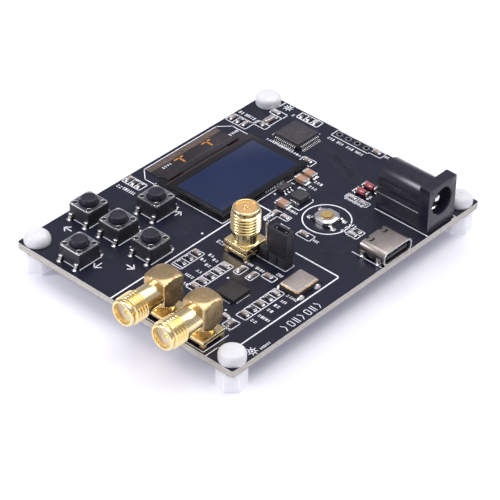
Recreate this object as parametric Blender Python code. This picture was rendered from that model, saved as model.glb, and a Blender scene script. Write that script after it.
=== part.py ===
"""Radio-frequency signal source and analyzer board.

A bare circuit board stands on four nylon standoffs. It carries a small display with its flex tail,
five push buttons, a reset button, three SMA connectors, a barrel jack, a USB-C socket, a three-pin
header with a jumper cap, and its chips.

Metres, +Z up. +X is the side of the two right-angle SMA connectors, +Y the side of the power
sockets, and a reader of the display stands at -Y. The origin is on the standing surface, under the
centre of the whole object.
"""
import math

import bmesh
import bpy
from mathutils import Matrix, Vector
from mathutils.geometry import tessellate_polygon

# Board and feet
BOARD_LENGTH = 0.0770
BOARD_DEPTH = 0.0602
BOARD_THICKNESS = 0.0016
BOARD_CORNER = 0.0005
STANDOFF_HEIGHT = 0.0050
STANDOFF_FLATS = 0.0055
SCREW_INSET_X = 0.0030
SCREW_INSET_Y = 0.0029
SCREW_HOLE_RADIUS = 0.0016
SCREW_HEAD_RADIUS = 0.00287
SCREW_HEAD_HEIGHT = 0.0023
SCREW_SHANK_RADIUS = 0.0014
SCREW_LENGTH = 0.0060
SEAT_GAP = 0.00005

# Coaxial connectors
SMA_THREAD_RADIUS = 0.003175
SMA_NECK_RADIUS = 0.00275
SMA_LIP_RADIUS = 0.00265
SMA_BORE_RADIUS = 0.0021
SMA_MOUTH_RADIUS = 0.0023
SMA_MOUTH_DEPTH = 0.0013
SMA_FLANGE = 0.0064
SMA_LEG_PITCH = 0.00508
SMA_LEG = 0.0010
SMA_BARREL = 0.0085
SMA_AXIS_HEIGHT = 0.0061

# Overhangs that set the centre of the whole object
CONNECTOR_REACH = 0.0843
SOCKET_REACH = 0.06045
STANDOFF_REACH = SCREW_INSET_X - STANDOFF_FLATS / math.sqrt(3)
FLOOR_TO_TOP_FACE = STANDOFF_HEIGHT + BOARD_THICKNESS
LEG_DEPTH = 0.0030

# Places, measured from the board's front left corner
SWITCH_PLACES = {
    "up": (0.0605, 0.0223),
    "down": (0.0605, 0.0044),
    "left": (0.0493, 0.0130),
    "right": (0.0718, 0.0131),
    "centre": (0.0605, 0.0130),
}
RIGHT_ANGLE_SMA_PLACES = {"front_sma": (0.0727, 0.03775), "back_sma": (0.0728, 0.04835)}
UPRIGHT_SMA_PLACE = (0.0466, 0.0358)
RESET_PLACE = (0.0271, 0.0411)
HEADER_PLACE = (0.0451, 0.04286)
SPARE_HEADER_PLACE = (0.00135, 0.0264)
JACK_PLACE = (0.0124, 0.0596)
USB_PLACE = (0.02735, SOCKET_REACH)
MICROCONTROLLER_PLACE = (0.0089, 0.0166)
SYNTHESIZER_PLACE = (0.0590, 0.0436)
OSCILLATOR_PLACE = (0.0482, 0.0518)
DISPLAY_PLACE = (0.0296, 0.01645)
INDUCTOR_PLACE = (0.0256, 0.0323)
REGULATOR_PLACE = (0.0254, 0.0276)
CRYSTAL_PLACE = (0.0079, 0.0077)
DIODE_PLACES = {"diode_1": (0.0153, 0.0410), "diode_2": (0.0126, 0.0410)}
CAPACITOR_PLACES = {
    "bulk_capacitor_1": (0.0298, 0.0313),
    "bulk_capacitor_2": (0.0206, 0.0284),
    "bulk_capacitor_3": (0.0179, 0.0283),
}

# Push button sizes
SWITCH_SIZE = 0.0060
SWITCH_BODY_HEIGHT = 0.00340
SWITCH_COVER_THICKNESS = 0.00022
SWITCH_PLUNGER_RADIUS = 0.00175
SWITCH_PLUNGER_TOP = 0.0050
SWITCH_RECESS_RADIUS = 0.0022
SWITCH_RECESS_DEPTH = 0.0014
SWITCH_RIVET_OFFSET = 0.0022
SWITCH_RIVET_RADIUS = 0.00042
SWITCH_LEG_PITCH = 0.0045
SWITCH_LEG_REACH = 0.0037
PIN_PITCH = 0.00254
JACK_LENGTH = 0.0142
JACK_WIDTH = 0.0090
JACK_HEIGHT = 0.0109
JACK_BORE_RADIUS = 0.0031
JACK_AXIS = 0.0064
JACK_LUG_Y = 0.0146
JACK_SPRING_Y = 0.0086
USB_WIDTH = 0.00894
USB_HEIGHT = 0.00322
USB_LENGTH = 0.0073
USB_WALL = 0.0003
USB_LEG_OFFSET = 0.00432
USB_LEG_BACKS = (0.0016, 0.0058)


def at(x, y, z=0.0):
    """World position of a place on the board, with z measured from its top face."""
    centre_x = (STANDOFF_REACH + CONNECTOR_REACH) / 2
    return Vector((x - centre_x, y - SOCKET_REACH / 2, FLOOR_TO_TOP_FACE + z))


def clear_scene():
    for item in list(bpy.data.objects):
        bpy.data.objects.remove(item, do_unlink=True)


def material(name, colour, roughness, metallic=0.0):
    look = bpy.data.materials.new(name)
    look.use_nodes = True
    shader = look.node_tree.nodes["Principled BSDF"]
    shader.inputs["Base Color"].default_value = (*colour, 1.0)
    shader.inputs["Roughness"].default_value = roughness
    shader.inputs["Metallic"].default_value = metallic
    return look


def make_materials():
    return {
        "solder_mask": material("solder_mask", (0.020, 0.020, 0.032), 0.45),
        "nylon": material("nylon", (0.86, 0.86, 0.85), 0.45),
        "black_plastic": material("black_plastic", (0.018, 0.018, 0.021), 0.50),
        "button_plastic": material("button_plastic", (0.045, 0.045, 0.052), 0.42),
        "steel": material("steel", (0.55, 0.54, 0.56), 0.35, 1.0),
        "gold": material("gold", (0.86, 0.62, 0.26), 0.25, 1.0),
        "insulator": material("insulator", (0.86, 0.83, 0.74), 0.40),
        "display_glass": material("display_glass", (0.012, 0.017, 0.045), 0.12),
        "flex": material("flex", (0.10, 0.06, 0.035), 0.35),
        "chip_epoxy": material("chip_epoxy", (0.030, 0.028, 0.028), 0.60),
        "nickel": material("nickel", (0.60, 0.58, 0.54), 0.32, 1.0),
        "ceramic": material("ceramic", (0.46, 0.27, 0.18), 0.45),
        "diode_glass": material("diode_glass", (0.45, 0.05, 0.07), 0.15),
        "actuator": material("actuator", (0.48, 0.36, 0.17), 0.40),
        "ferrite": material("ferrite", (0.040, 0.040, 0.044), 0.55),
    }


# Outlines

def circle(radius, sides, centre=(0.0, 0.0), start=0.0):
    """Points of a regular polygon, anticlockwise."""
    turns = [start + 2 * math.pi * step / sides for step in range(sides)]
    return [(centre[0] + radius * math.cos(a), centre[1] + radius * math.sin(a)) for a in turns]


def rectangle(width, depth, centre=(0.0, 0.0), corner=0.0, steps=1):
    """Anticlockwise rectangle. Each corner is an arc of steps + 1 points, or one point when sharp."""
    points = []
    for quarter, (sx, sy) in enumerate(((1, 1), (-1, 1), (-1, -1), (1, -1))):
        cx = centre[0] + sx * (width / 2 - corner)
        cy = centre[1] + sy * (depth / 2 - corner)
        if corner == 0.0:
            points.append((cx, cy))
            continue
        for step in range(steps + 1):
            angle = math.pi / 2 * (quarter + step / steps)
            points.append((cx + corner * math.cos(angle), cy + corner * math.sin(angle)))
    return points


def hexagon(flats, turn):
    """Hexagon of a given width across its flats, with a flat facing the direction turn."""
    return circle(flats / math.sqrt(3), 6, start=turn + math.pi / 6)


# Meshes

def join_rings(shape, lower, upper):
    """Close the band between two rings of vertices. A ring of one vertex makes a fan."""
    count = max(len(lower), len(upper))
    for i in range(count):
        j = (i + 1) % count
        corners = [lower[i % len(lower)], lower[j % len(lower)]]
        corners += [upper[j % len(upper)], upper[i % len(upper)]]
        shape.faces.new(list(dict.fromkeys(corners)))


def finished(shape):
    """Turn a bmesh into a mesh with its faces pointing out, and shade its round parts smooth."""
    bmesh.ops.recalc_face_normals(shape, faces=shape.faces)
    mesh = bpy.data.meshes.new("shape")
    shape.to_mesh(mesh)
    shape.free()
    return mesh


def fill_cap(shape, rings):
    """Fill the face inside the first ring and outside the others."""
    loops = [[vertex.co.copy() for vertex in ring] for ring in rings]
    vertices = [vertex for ring in rings for vertex in ring]
    for corners in tessellate_polygon(loops):
        shape.faces.new([vertices[i] for i in corners])


def prism(layers, holes=()):
    """Closed solid through a stack of (height, outline) layers, with straight holes right through."""
    shape = bmesh.new()
    rings = [[shape.verts.new((x, y, z)) for x, y in outline] for z, outline in layers]
    for lower, upper in zip(rings, rings[1:]):
        join_rings(shape, lower, upper)
    bottoms = [rings[0]]
    tops = [rings[-1]]
    for hole in holes:
        bottoms.append([shape.verts.new((x, y, layers[0][0])) for x, y in hole])
        tops.append([shape.verts.new((x, y, layers[-1][0])) for x, y in hole])
        join_rings(shape, bottoms[-1], tops[-1])
    fill_cap(shape, bottoms)
    fill_cap(shape, tops)
    return finished(shape)


def box(size_x, size_y, low, high, centre=(0.0, 0.0)):
    return prism([(z, rectangle(size_x, size_y, centre)) for z in (low, high)])


def turned(profile, sides, closed=False):
    """Solid of revolution about Z through (radius, height) points.

    An open profile starts and ends on the axis. A closed one is a ring's cross-section.
    """
    shape = bmesh.new()
    rings = []
    for radius, height in profile:
        corners = circle(radius, sides) if radius > 0 else [(0.0, 0.0)]
        rings.append([shape.verts.new((x, y, height)) for x, y in corners])
    pairs = list(zip(rings, rings[1:]))
    if closed:
        pairs.append((rings[-1], rings[0]))
    for lower, upper in pairs:
        join_rings(shape, lower, upper)
    return finished(shape)


def moved(mesh, matrix):
    copy = mesh.copy()
    copy.transform(matrix)
    return copy


def shifted(mesh, x=0.0, y=0.0, z=0.0):
    return moved(mesh, Matrix.Translation((x, y, z)))


def gathered(meshes):
    """One mesh that holds several separate closed shapes, for use as a Boolean's tool."""
    shape = bmesh.new()
    for mesh in meshes:
        shape.from_mesh(mesh)
    result = bpy.data.meshes.new("tool")
    shape.to_mesh(result)
    shape.free()
    return result


def combined(base, tool, operation):
    """Boolean of two meshes: UNION, DIFFERENCE or INTERSECT."""
    body = bpy.data.objects.new("body", base)
    cutter = bpy.data.objects.new("cutter", tool)
    for item in (body, cutter):
        bpy.context.scene.collection.objects.link(item)
    step = body.modifiers.new("combine", "BOOLEAN")
    step.operation = operation
    step.solver = "EXACT"
    step.object = cutter
    graph = bpy.context.evaluated_depsgraph_get()
    result = bpy.data.meshes.new_from_object(body.evaluated_get(graph))
    for item in (body, cutter):
        bpy.data.objects.remove(item, do_unlink=True)
    return result


def strip(path, thickness, width):
    """Bent flat strip. The path is (out, up) points in the XZ plane and the width lies along Y."""
    points = [Vector(point) for point in path]
    sides = []
    for i, point in enumerate(points):
        before = (point - points[i - 1]).normalized() if i else None
        after = (points[i + 1] - point).normalized() if i + 1 < len(points) else None
        ahead = ((before or after) + (after or before)).normalized()
        normal = Vector((-ahead.y, ahead.x))
        stretch = 1.0 / max(0.5, ahead.dot(after or before))
        sides.append((point, normal * (thickness / 2) * stretch))
    outline = [tuple(point + offset) for point, offset in sides]
    outline += [tuple(point - offset) for point, offset in reversed(sides)]
    flat = prism([(-width / 2, outline), (width / 2, outline)])
    return moved(flat, Matrix.Rotation(math.pi / 2, 4, "X"))


def place(name, mesh, look, location, angle=30.0):
    """Put a finished mesh in the scene as a named sub-part."""
    mesh.materials.clear()
    mesh.materials.append(look)
    mesh.shade_smooth()
    mesh.set_sharp_from_angle(angle=math.radians(angle))
    item = bpy.data.objects.new(name, mesh)
    item.location = location
    bpy.context.scene.collection.objects.link(item)
    return item


# Board, feet and screws

def switch_leg_places():
    """Centre of each leg hole of the five push buttons."""
    return [
        (x + side * SWITCH_LEG_REACH, y + row * SWITCH_LEG_PITCH / 2)
        for x, y in SWITCH_PLACES.values()
        for side in (-1, 1)
        for row in (-1, 1)
    ]


def sma_leg_places():
    """Centre of each corner leg of the three coaxial connectors."""
    centres = [UPRIGHT_SMA_PLACE, *RIGHT_ANGLE_SMA_PLACES.values()]
    half = SMA_LEG_PITCH / 2
    return [(x + sx * half, y + sy * half) for x, y in centres for sx in (-1, 1) for sy in (-1, 1)]


def screw_places():
    """Name and centre of each corner's screw."""
    far_x = BOARD_LENGTH - SCREW_INSET_X
    far_y = BOARD_DEPTH - SCREW_INSET_Y
    return {
        "front_left": (SCREW_INSET_X, SCREW_INSET_Y),
        "front_right": (far_x, SCREW_INSET_Y),
        "back_left": (SCREW_INSET_X, far_y),
        "back_right": (far_x, far_y),
    }


def header_pin_places():
    x, y = HEADER_PLACE
    return [(x, y + step * PIN_PITCH) for step in (-1, 0, 1)]


def make_board(looks):
    """Board outline with its drilled and slotted holes."""
    sma_pins = [UPRIGHT_SMA_PLACE, *RIGHT_ANGLE_SMA_PLACES.values()]
    spare_x, spare_y = SPARE_HEADER_PLACE
    spare = [(spare_x, spare_y + (step - 1.5) * PIN_PITCH) for step in range(4)]
    jack_x, jack_y = JACK_PLACE
    usb_x, usb_y = USB_PLACE
    slots = [(jack_x, jack_y - JACK_LUG_Y, 0.0032, 0.0011), (jack_x, jack_y - JACK_SPRING_Y, 0.0032, 0.0011)]
    for side in (-1, 1):
        for back in USB_LEG_BACKS:
            slots.append((usb_x + side * USB_LEG_OFFSET, usb_y - back, 0.0008, 0.0017))
    holes = [circle(SCREW_HOLE_RADIUS, 16, place_) for place_ in screw_places().values()]
    holes += [circle(0.00052, 6, place_) for place_ in switch_leg_places()]
    holes += [circle(0.00080, 8, place_, math.pi / 8) for place_ in sma_leg_places()]
    holes += [circle(0.00070, 8, place_) for place_ in sma_pins]
    holes += [circle(0.00050, 8, place_) for place_ in header_pin_places() + spare]
    holes += [rectangle(width, depth, (x, y)) for x, y, width, depth in slots]
    centre = (BOARD_LENGTH / 2, BOARD_DEPTH / 2)
    outline = rectangle(BOARD_LENGTH, BOARD_DEPTH, centre, BOARD_CORNER, 2)
    mesh = prism([(-BOARD_THICKNESS, outline), (0.0, outline)], holes)
    place("circuit_board", mesh, looks["solder_mask"], at(0.0, 0.0))


def make_standoffs(looks):
    """Hexagonal spacers with edges eased at both ends. Each turns as its screw left it."""
    turns = {
        "front_left": math.pi / 2,
        "front_right": math.pi / 2,
        "back_left": math.radians(41.5),
        "back_right": math.radians(41.5),
    }
    ease = 0.00015
    bore = circle(SCREW_SHANK_RADIUS + 0.00008, 12)
    for corner, (x, y) in screw_places().items():
        full = hexagon(STANDOFF_FLATS, turns[corner])
        small = hexagon(STANDOFF_FLATS - 2 * ease, turns[corner])
        top = STANDOFF_HEIGHT - SEAT_GAP
        layers = [(0.0, small), (ease, full), (top - ease, full), (top, small)]
        place("standoff_" + corner, prism(layers, [bore]), looks["nylon"],
              at(x, y, -FLOOR_TO_TOP_FACE))


def screw_mesh():
    """Pan head with a cross recess, on a plain shank."""
    sides = 16
    wall = 0.45 * SCREW_HEAD_HEIGHT
    crown = SCREW_HEAD_HEIGHT - wall
    profile = [(0.0, -SCREW_LENGTH), (SCREW_SHANK_RADIUS - 0.0003, -SCREW_LENGTH)]
    profile += [(SCREW_SHANK_RADIUS, -SCREW_LENGTH + 0.0003), (SCREW_SHANK_RADIUS, SEAT_GAP)]
    profile += [(SCREW_HEAD_RADIUS - 0.00008, SEAT_GAP), (SCREW_HEAD_RADIUS, SEAT_GAP + 0.0001)]
    for step in range(4):
        angle = math.radians(21 * step)
        height = wall + crown * math.sin(angle)
        profile.append((SCREW_HEAD_RADIUS * math.cos(angle) ** 0.8, height))
    profile.append((0.0, SCREW_HEAD_HEIGHT))
    head = turned(profile, sides)
    arm = [(SCREW_HEAD_HEIGHT - 0.0009, 0.0013, 0.00035), (SCREW_HEAD_HEIGHT + 0.0002, 0.0026, 0.00055)]
    blade = prism([(height, rectangle(length, width)) for height, length, width in arm])
    other = moved(blade, Matrix.Rotation(math.pi / 2, 4, "Z"))
    return combined(head, combined(blade, other, "UNION"), "DIFFERENCE")


def make_screws(looks):
    mesh = screw_mesh()
    for corner, (x, y) in screw_places().items():
        place("screw_" + corner, mesh.copy(), looks["nylon"], at(x, y))


# Push buttons

def switch_base_mesh():
    """Moulded box with a round well, four rivet studs and four kinked legs."""
    low = 0.00008
    inner = SWITCH_SIZE - 0.00012
    layers = [(low, rectangle(inner, inner)), (SWITCH_BODY_HEIGHT, rectangle(SWITCH_SIZE, SWITCH_SIZE))]
    body = prism(layers)
    well_floor = SWITCH_BODY_HEIGHT - SWITCH_RECESS_DEPTH
    well = turned([(0.0, well_floor), (SWITCH_RECESS_RADIUS, well_floor),
                   (SWITCH_RECESS_RADIUS, SWITCH_BODY_HEIGHT + 0.001), (0.0, SWITCH_BODY_HEIGHT + 0.001)], 16)
    body = combined(body, well, "DIFFERENCE")
    stud_top = SWITCH_BODY_HEIGHT + SWITCH_COVER_THICKNESS + 0.00012
    stud = turned([(0.0, SWITCH_BODY_HEIGHT - 0.0003), (SWITCH_RIVET_RADIUS, SWITCH_BODY_HEIGHT - 0.0003),
                   (SWITCH_RIVET_RADIUS, stud_top - 0.0001), (0.0, stud_top)], 6)
    path = [(0.0026, 0.00115), (0.00320, 0.00115), (0.00350, 0.00090)]
    path += [(SWITCH_LEG_REACH, 0.00030), (SWITCH_LEG_REACH, -LEG_DEPTH)]
    leg = strip(path, 0.00025, 0.0007)
    additions = []
    for side in (-1, 1):
        facing = Matrix.Rotation(0.0 if side == 1 else math.pi, 4, "Z")
        for row in (-1, 1):
            additions.append(shifted(stud, side * SWITCH_RIVET_OFFSET, row * SWITCH_RIVET_OFFSET))
            additions.append(shifted(moved(leg, facing), y=row * SWITCH_LEG_PITCH / 2))
    return combined(body, gathered(additions), "UNION")


def switch_cover_mesh():
    """Steel plate with eased corners, a round window and four rivet holes."""
    size = SWITCH_SIZE - 0.00010
    low = SWITCH_BODY_HEIGHT + 0.00003
    high = low + SWITCH_COVER_THICKNESS
    outline = rectangle(size, size, corner=0.0004)
    offset = SWITCH_RIVET_OFFSET
    corners = [(sx * offset, sy * offset) for sx in (-1, 1) for sy in (-1, 1)]
    holes = [circle(SWITCH_PLUNGER_RADIUS + 0.00015, 16)]
    holes += [circle(SWITCH_RIVET_RADIUS + 0.0001, 6, corner) for corner in corners]
    return prism([(low, outline), (high, outline)], holes)


def switch_plunger_mesh():
    """Round button with a shoulder that the cover holds down. The origin is on its axis, at rest."""
    shoulder = 0.00205
    shoulder_low = SWITCH_BODY_HEIGHT - 0.0009
    shoulder_high = SWITCH_BODY_HEIGHT - 0.0003
    top = SWITCH_PLUNGER_TOP
    rim = SWITCH_PLUNGER_RADIUS
    ease = 0.00018
    profile = [(0.0, shoulder_low), (shoulder, shoulder_low), (shoulder, shoulder_high)]
    profile += [(rim, shoulder_high), (rim, top - ease), (rim - ease, top), (0.0, top - 0.00004)]
    return turned(profile, 16)


def make_switches(looks):
    base = switch_base_mesh()
    cover = switch_cover_mesh()
    plunger = switch_plunger_mesh()
    for name, (x, y) in SWITCH_PLACES.items():
        where = at(x, y)
        place("switch_" + name + "_base", base.copy(), looks["black_plastic"], where)
        place("switch_" + name + "_cover", cover.copy(), looks["steel"], where)
        place("switch_" + name + "_plunger", plunger.copy(), looks["button_plastic"], where)


def make_reset(looks):
    """Low square button: moulded base with four feet, eight-sided steel cover and round actuator."""
    where = at(*RESET_PLACE)
    well = turned([(0.0, 0.0006), (0.0015, 0.0006), (0.0015, 0.003), (0.0, 0.003)], 20)
    square = rectangle(0.0050, 0.0050, corner=0.0009)
    base = prism([(SEAT_GAP, square), (0.00095, square)])
    base = combined(base, well, "DIFFERENCE")
    path = [(0.0020, 0.00045), (0.0027, 0.00045), (0.0030, 0.00014), (0.0035, 0.00014)]
    foot = strip(path, 0.00018, 0.0008)
    feet = []
    for side in (-1, 1):
        for row in (-1, 1):
            turn = Matrix.Rotation(side * math.pi / 2, 4, "Z")
            feet.append(shifted(moved(foot, turn), x=row * 0.00185))
    base = combined(base, gathered(feet), "UNION")
    place("reset_base", base, looks["black_plastic"], where)
    outer = rectangle(0.0050, 0.0050, corner=0.0011)
    inner = rectangle(0.0038, 0.0038, corner=0.0011)
    cover = prism([(0.00099, outer), (0.00112, outer), (0.00135, inner)], [circle(0.00128, 20)])
    place("reset_cover", cover, looks["nickel"], where)
    profile = [(0.0, 0.00085), (0.00142, 0.00085), (0.00142, 0.00094), (0.00118, 0.00094)]
    profile += [(0.00118, 0.00160), (0.00100, 0.00172), (0.0, 0.00172)]
    place("reset_plunger", turned(profile, 20), looks["actuator"], where)


# Display

def make_display(looks):
    """Two bonded glass plates, the lower one with a ledge, and the flex tail soldered to the board."""
    x, y = DISPLAY_PLACE
    width = 0.0267
    depth = 0.01926
    ledge = 0.0027
    outline = [(-depth / 2, SEAT_GAP), (depth / 2, SEAT_GAP), (depth / 2, 0.00150)]
    outline += [(-depth / 2 + ledge, 0.00150), (-depth / 2 + ledge, 0.00078), (-depth / 2, 0.00078)]
    lying = prism([(-width / 2, outline), (width / 2, outline)])
    upright = Matrix(((0, 0, 1, 0), (1, 0, 0, 0), (0, 1, 0, 0), (0, 0, 0, 1)))
    place("display_glass", moved(lying, upright), looks["display_glass"], at(x, y))
    tail_end = -depth / 2 - 0.0056
    path = [(tail_end, 0.00016), (tail_end + 0.0032, 0.00016), (tail_end + 0.0040, 0.00030)]
    path += [(tail_end + 0.0049, 0.00080), (tail_end + 0.0056, 0.00094), (tail_end + 0.0072, 0.00094)]
    tail = moved(strip(path, 0.00018, 0.0222), Matrix.Rotation(math.pi / 2, 4, "Z"))
    place("display_flex", tail, looks["flex"], at(x, y))


# Chips and other parts on the board

def dimple(radius, x, y, top, depth):
    profile = [(0.0, top - depth), (radius, top - depth), (radius, top + 0.001), (0.0, top + 0.001)]
    return shifted(turned(profile, 12), x, y)


def make_microcontroller(looks):
    """Tapered moulded body with twelve gull-wing leads on each side and a pin-one dimple."""
    widths = ((0.00012, 0.0067), (0.00075, 0.0070), (0.00090, 0.0070), (0.00150, 0.0067))
    body = prism([(height, rectangle(side, side, corner=0.00025)) for height, side in widths])
    body = combined(body, dimple(0.0004, -0.0025, 0.0025, 0.0015, 0.00008), "DIFFERENCE")
    path = [(0.0033, 0.00083), (0.00385, 0.00083), (0.00405, 0.00012), (0.0046, 0.00012)]
    lead = strip(path, 0.00014, 0.00022)
    leads = []
    for quarter in range(4):
        turn = Matrix.Rotation(quarter * math.pi / 2, 4, "Z")
        for step in range(12):
            leads.append(moved(shifted(lead, y=(step - 5.5) * 0.0005), turn))
    mesh = combined(body, gathered(leads), "UNION")
    place("microcontroller", mesh, looks["chip_epoxy"], at(*MICROCONTROLLER_PLACE))


def make_synthesizer(looks):
    """Leadless square package with a pin-one dimple."""
    layers = [(0.00004, rectangle(0.0049, 0.0049)), (0.00025, rectangle(0.0049, 0.0049)),
              (0.00026, rectangle(0.0050, 0.0050)), (0.00085, rectangle(0.0050, 0.0050))]
    body = combined(prism(layers), dimple(0.0003, -0.0018, -0.0018, 0.00085, 0.00006), "DIFFERENCE")
    place("synthesizer_chip", body, looks["chip_epoxy"], at(*SYNTHESIZER_PLACE))


def make_oscillator(looks):
    """Ceramic base with a stepped rim and a welded lid."""
    base = rectangle(0.0066, 0.00505, corner=0.0003)
    rim = rectangle(0.0063, 0.00475, corner=0.0003)
    lid = rectangle(0.0060, 0.00445, corner=0.0003)
    layers = [(SEAT_GAP, base), (0.0012, base), (0.00122, rim), (0.0014, rim), (0.00142, lid), (0.00162, lid)]
    place("oscillator", prism(layers), looks["nickel"], at(*OSCILLATOR_PLACE))


def make_regulator(looks):
    """Small leaded package: three leads on one side and two on the other."""
    layers = [(0.0001, rectangle(0.0028, 0.0015)), (0.0006, rectangle(0.0029, 0.0016))]
    layers.append((0.0011, rectangle(0.0027, 0.0014)))
    path = [(0.0006, 0.0006), (0.00095, 0.0006), (0.00110, 0.0001), (0.0014, 0.0001)]
    lead = strip(path, 0.00014, 0.0004)
    leads = []
    for side, steps in ((1, (-1, 0, 1)), (-1, (-1, 1))):
        turn = Matrix.Rotation(side * math.pi / 2, 4, "Z")
        leads += [shifted(moved(lead, turn), x=step * 0.00095) for step in steps]
    mesh = combined(prism(layers), gathered(leads), "UNION")
    place("regulator", mesh, looks["chip_epoxy"], at(*REGULATOR_PLACE))


def make_passives(looks):
    """Inductor, crystal, glass diodes and the larger ceramic capacitors."""
    side = 0.0033
    core = [(SEAT_GAP, rectangle(side, 0.0032, corner=0.0004))]
    core.append((0.0014, core[0][1]))
    core.append((0.0015, rectangle(side - 0.0002, 0.0030, corner=0.0004)))
    place("power_inductor", prism(core), looks["ferrite"], at(*INDUCTOR_PLACE))
    base = rectangle(0.0032, 0.0025, corner=0.0002)
    lid = rectangle(0.0028, 0.0021, corner=0.0002)
    can = [(SEAT_GAP, base), (0.0006, base), (0.00061, lid), (0.0008, lid)]
    place("small_crystal", prism(can), looks["nickel"], at(*CRYSTAL_PLACE))
    cap_radius = 0.00078
    half = 0.0017
    profile = [(0.0, -half), (cap_radius, -half), (cap_radius, -half + 0.0004), (0.0007, -half + 0.00045)]
    profile += [(0.0007, half - 0.00045), (cap_radius, half - 0.0004), (cap_radius, half), (0.0, half)]
    tube = moved(turned(profile, 12), Matrix.Rotation(math.pi / 2, 4, "X"))
    for name, (x, y) in DIODE_PLACES.items():
        place(name, tube.copy(), looks["diode_glass"], at(x, y, cap_radius + SEAT_GAP))
    block = rectangle(0.0016, 0.0030, corner=0.00015)
    slab = [(SEAT_GAP, block), (0.0012, block)]
    for name, (x, y) in CAPACITOR_PLACES.items():
        place(name, prism(slab), looks["ceramic"], at(x, y))


def make_header(looks):
    """Pin strip with notched sides, three square pins and a jumper cap on two of them."""
    x, y = HEADER_PLACE
    half = PIN_PITCH / 2
    notch = 0.0004
    right = []
    for step in (-1, 0, 1):
        low = step * PIN_PITCH - half + 0.00005
        high = step * PIN_PITCH + half - 0.00005
        right += [(half - notch, low), (half, low + notch), (half, high - notch), (half - notch, high)]
    outline = right + [(-px, -py) for px, py in right]
    size = 0.00064
    pin_holes = [rectangle(size + 0.0001, size + 0.0001, (0.0, step * PIN_PITCH)) for step in (-1, 0, 1)]
    strip_height = 0.0025
    base = prism([(SEAT_GAP, outline), (strip_height, outline)], pin_holes)
    place("header_strip", base, looks["black_plastic"], at(x, y))
    tip = rectangle(0.0003, 0.0003)
    shaft = rectangle(size, size)
    layers = [(-LEG_DEPTH, tip), (-LEG_DEPTH + 0.0003, shaft), (0.0083, shaft), (0.0086, tip)]
    for index, step in enumerate((-1, 0, 1)):
        place("header_pin_%d" % (index + 1), prism(layers), looks["nickel"], at(x, y + step * PIN_PITCH))
    cap_low = strip_height + 0.0001
    cap_high = 0.0087
    cap_outline = rectangle(0.0025, 0.0050, corner=0.0002)
    shell = prism([(cap_low, cap_outline), (cap_high, cap_outline)])
    window = box(0.0011, 0.0036, cap_low - 0.001, cap_high + 0.001)
    place("jumper_cap", combined(shell, window, "DIFFERENCE"), looks["black_plastic"], at(x, y + half))


# Coaxial connectors

def sma_barrel(start, neck):
    """Profile of the outside of a connector's barrel from start: neck, thread land and lip."""
    neck_end = start + neck
    thread_end = start + 0.0067
    end = start + SMA_BARREL
    ease = 0.0002
    profile = [(SMA_NECK_RADIUS, start), (SMA_NECK_RADIUS, neck_end), (SMA_THREAD_RADIUS, neck_end + ease)]
    profile += [(SMA_THREAD_RADIUS, thread_end - ease), (SMA_LIP_RADIUS, thread_end + ease)]
    profile += [(SMA_LIP_RADIUS, end - 0.0001), (SMA_LIP_RADIUS - 0.0001, end)]
    return profile


def sma_bore(floor, end):
    """Solid of the space inside a barrel: the insulator's bore and the wider mouth."""
    mouth = end - SMA_MOUTH_DEPTH
    profile = [(0.0, floor), (SMA_BORE_RADIUS, floor), (SMA_BORE_RADIUS, mouth), (SMA_MOUTH_RADIUS, mouth)]
    profile += [(SMA_MOUTH_RADIUS, end + 0.001), (0.0, end + 0.001)]
    return turned(profile, 24)


def sma_legs(low, high):
    half = SMA_LEG_PITCH / 2
    return [box(SMA_LEG, SMA_LEG, low, high, (sx * half, sy * half)) for sx in (-1, 1) for sy in (-1, 1)]


def sma_insulator(floor, end):
    """Insulator with a hole for the contact, a hair smaller than its bore."""
    outer = SMA_BORE_RADIUS - SEAT_GAP
    hole = 0.0007
    profile = [(hole, floor), (outer, floor), (outer, end), (hole, end)]
    return turned(profile, 20, closed=True)


def sma_contact(floor, end):
    """Socket contact: a tube with a blind hole, and a solid pin below it."""
    outer = 0.00063
    hole = 0.00047
    deep = end - 0.0025
    return turned([(0.0, floor), (outer, floor), (outer, end), (hole, end), (hole, deep), (0.0, deep)], 12)


def make_upright_sma(looks):
    where = at(*UPRIGHT_SMA_PLACE)
    flange_low = 0.0011
    flange_top = 0.0030
    end = flange_top + SMA_BARREL - 0.00045
    outline = rectangle(SMA_FLANGE, SMA_FLANGE, corner=0.0002)
    waist = rectangle(SMA_FLANGE - 0.0008, SMA_FLANGE - 0.0008, corner=0.0002)
    heights = [(flange_low, outline), (0.0018, outline), (0.00185, waist), (0.00215, waist)]
    heights += [(0.0022, outline), (flange_top, outline)]
    outside = sma_barrel(flange_top - 0.00045, 0.0025)
    barrel = turned([(0.0, 0.0024), *outside, (0.0, end)], 24)
    shell = combined(prism(heights), barrel, "UNION")
    shell = combined(shell, gathered(sma_legs(-LEG_DEPTH, flange_low + 0.0002)), "UNION")
    shell = combined(shell, sma_bore(0.0, end), "DIFFERENCE")
    place("upright_sma_shell", shell, looks["gold"], where)
    face = end - SMA_MOUTH_DEPTH
    place("upright_sma_insulator", sma_insulator(flange_low, face), looks["insulator"], where)
    place("upright_sma_contact", sma_contact(-LEG_DEPTH, face), looks["gold"], where)


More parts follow.
